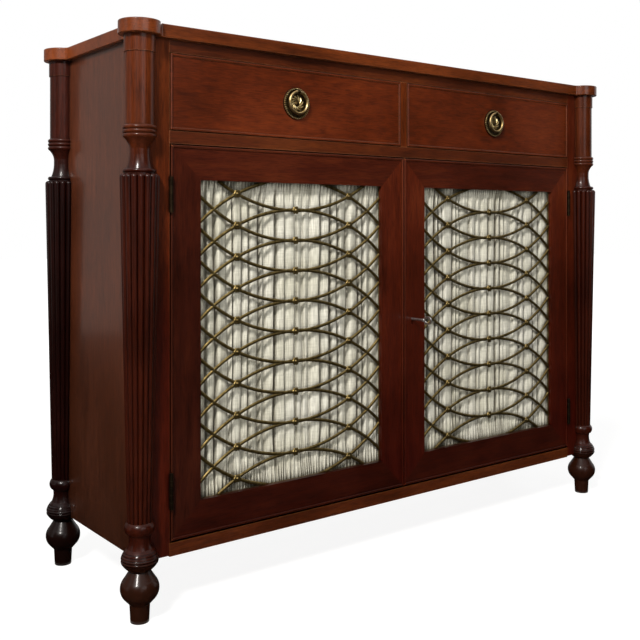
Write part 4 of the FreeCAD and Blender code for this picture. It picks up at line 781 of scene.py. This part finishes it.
# %% [markdown]
# The studio: a pale floor, a soft key lamp high on the left in front, a broad weak one in
# front, one above and one behind on the right. The key lamp throws shadows of the bars on the
# silk, which fall down and to the right. The floor glows a little to the camera, and more the
# further away it is, so it meets the white background without a line and still keeps the
# shadow of the cupboard. The world is plain white to the camera and in reflections, and a
# gentle grey as light. Four cards show only in reflections: three dark ones keep the polish
# from mirroring white, which would take away its depth, and a grey one beside the cupboard
# puts a soft grey reflection on its side.

# %% Floor, world and lamps
FLOOR_REACH = 14
GLOW_PLACES = (1.2, 3.0)
GLOW_STRENGTHS = (1.12, 1.5)
GLOW_SHARE = 0.8


def flat_sheet(name, corners, paint_name):
    """A sheet with one face and an empty material. Gives the object and the material's tree."""
    mesh = bpy.data.meshes.new(name)
    mesh.from_pydata(corners, [], [(0, 1, 2, 3)])
    sheet = bpy.data.objects.new(name, mesh)
    bpy.context.scene.collection.objects.link(sheet)
    made = bpy.data.materials.new(paint_name)
    made.use_nodes = True
    made.node_tree.nodes.clear()
    mesh.materials.append(made)
    return sheet, made.node_tree


def add_floor():
    """Pale paper that takes shadows, and glows to the camera with its distance from the middle."""
    corners = [(x * FLOOR_REACH, y * FLOOR_REACH, 0) for x, y in ((-1, -1), (1, -1), (1, 1), (-1, 1))]
    floor, tree = flat_sheet("floor", corners, "studio_floor")
    paper = add(tree, "ShaderNodeBsdfDiffuse", Color=linear("f4f4f2")).outputs["BSDF"]
    place = add(tree, "ShaderNodeTexCoord").outputs["Object"]
    away = add(tree, "ShaderNodeVectorMath", {"operation": "LENGTH"}, i0=place).outputs["Value"]
    bright = add(tree, "ShaderNodeMapRange", i0=away, i1=GLOW_PLACES[0], i2=GLOW_PLACES[1],
                 i3=GLOW_STRENGTHS[0], i4=GLOW_STRENGTHS[1]).outputs["Result"]
    glow = add(tree, "ShaderNodeEmission", Color=linear("ffffff"), Strength=bright).outputs["Emission"]
    ray = add(tree, "ShaderNodeLightPath").outputs["Is Camera Ray"]
    share = add(tree, "ShaderNodeMath", MULTIPLY, i0=ray, i1=GLOW_SHARE).outputs["Value"]
    mixed = add(tree, "ShaderNodeMixShader", i0=share, i1=paper, i2=glow).outputs["Shader"]
    add(tree, "ShaderNodeOutputMaterial", Surface=mixed)


def add_card(name, centre, across, up, colour):
    """A card that only reflections see. Across and up run from its middle to its sides."""
    centre, across, up = Vector(centre), Vector(across), Vector(up)
    corners = [centre - across - up, centre + across - up, centre + across + up, centre - across + up]
    card, tree = flat_sheet(name, corners, name + "_paint")
    paint = add(tree, "ShaderNodeEmission", Color=linear(colour)).outputs["Emission"]
    add(tree, "ShaderNodeOutputMaterial", Surface=paint)
    card.visible_camera = False
    card.visible_diffuse = False
    card.visible_shadow = False
    card.visible_transmission = False


def add_lamp(name, place, aim, size, watts, colour="ffffff"):
    """A round soft lamp turned towards the point it aims at."""
    data = bpy.data.lights.new(name, "AREA")
    data.shape = "DISK"
    data.size = size
    data.energy = watts
    data.color = linear(colour)[:3]
    lamp = bpy.data.objects.new(name, data)
    lamp.location = place
    way = Vector(aim) - Vector(place)
    lamp.rotation_euler = way.to_track_quat("-Z", "Y").to_euler()
    bpy.context.scene.collection.objects.link(lamp)


def set_world():
    """White where the camera, a reflection or clear glass looks at it, and grey as light."""
    world = bpy.data.worlds.new("studio")
    bpy.context.scene.world = world
    world.use_nodes = True
    tree = world.node_tree
    tree.nodes.clear()
    path = add(tree, "ShaderNodeLightPath")
    seen = path.outputs["Is Camera Ray"]
    for kind in ("Is Glossy Ray", "Is Transmission Ray"):
        either = add(tree, "ShaderNodeMath", {"operation": "MAXIMUM"}, i0=seen, i1=path.outputs[kind])
        seen = either.outputs["Value"]
    colour = add(tree, "ShaderNodeMix", MIX, i0=seen, i6=linear("5f5e5b"), i7=linear("ffffff")).outputs[2]
    back = add(tree, "ShaderNodeBackground", Color=colour, Strength=1.0).outputs["Background"]
    add(tree, "ShaderNodeOutputWorld", Surface=back)


add_floor()
set_world()
add_lamp("key_lamp", (-2.55, -1.8, 2.7), (0, -0.1, 0.45), 0.55, 165, "fffbf6")
add_lamp("fill_lamp", (-0.3, -3.6, 1.8), (0, 0, 0.4), 1.8, 22)
add_lamp("top_lamp", (0.2, 0.3, 3.0), (0, 0, 0.8), 1.6, 14)
add_lamp("back_lamp", (2.3, 2.6, 1.7), (0, 0, 0.45), 1.6, 38)
add_card("floor_card", (0.5, 0, 0.004), (4.5, 0, 0), (0, 4.5, 0), "16110f")
add_card("front_card", (2.6, -4.2, 1.6), (3.6, 1.6, 0), (0, 0, 2.4), "0d0c0c")
add_card("left_card", (-3.9, -2.4, 1.6), (-1.4, 2.6, 0), (0, 0, 2.4), "1a1715")
add_card("side_card", (-2.6, 2.9, 1.0), (2.2, 1.4, 0), (0, 0, 1.6), "9c9893")
print("studio ready")
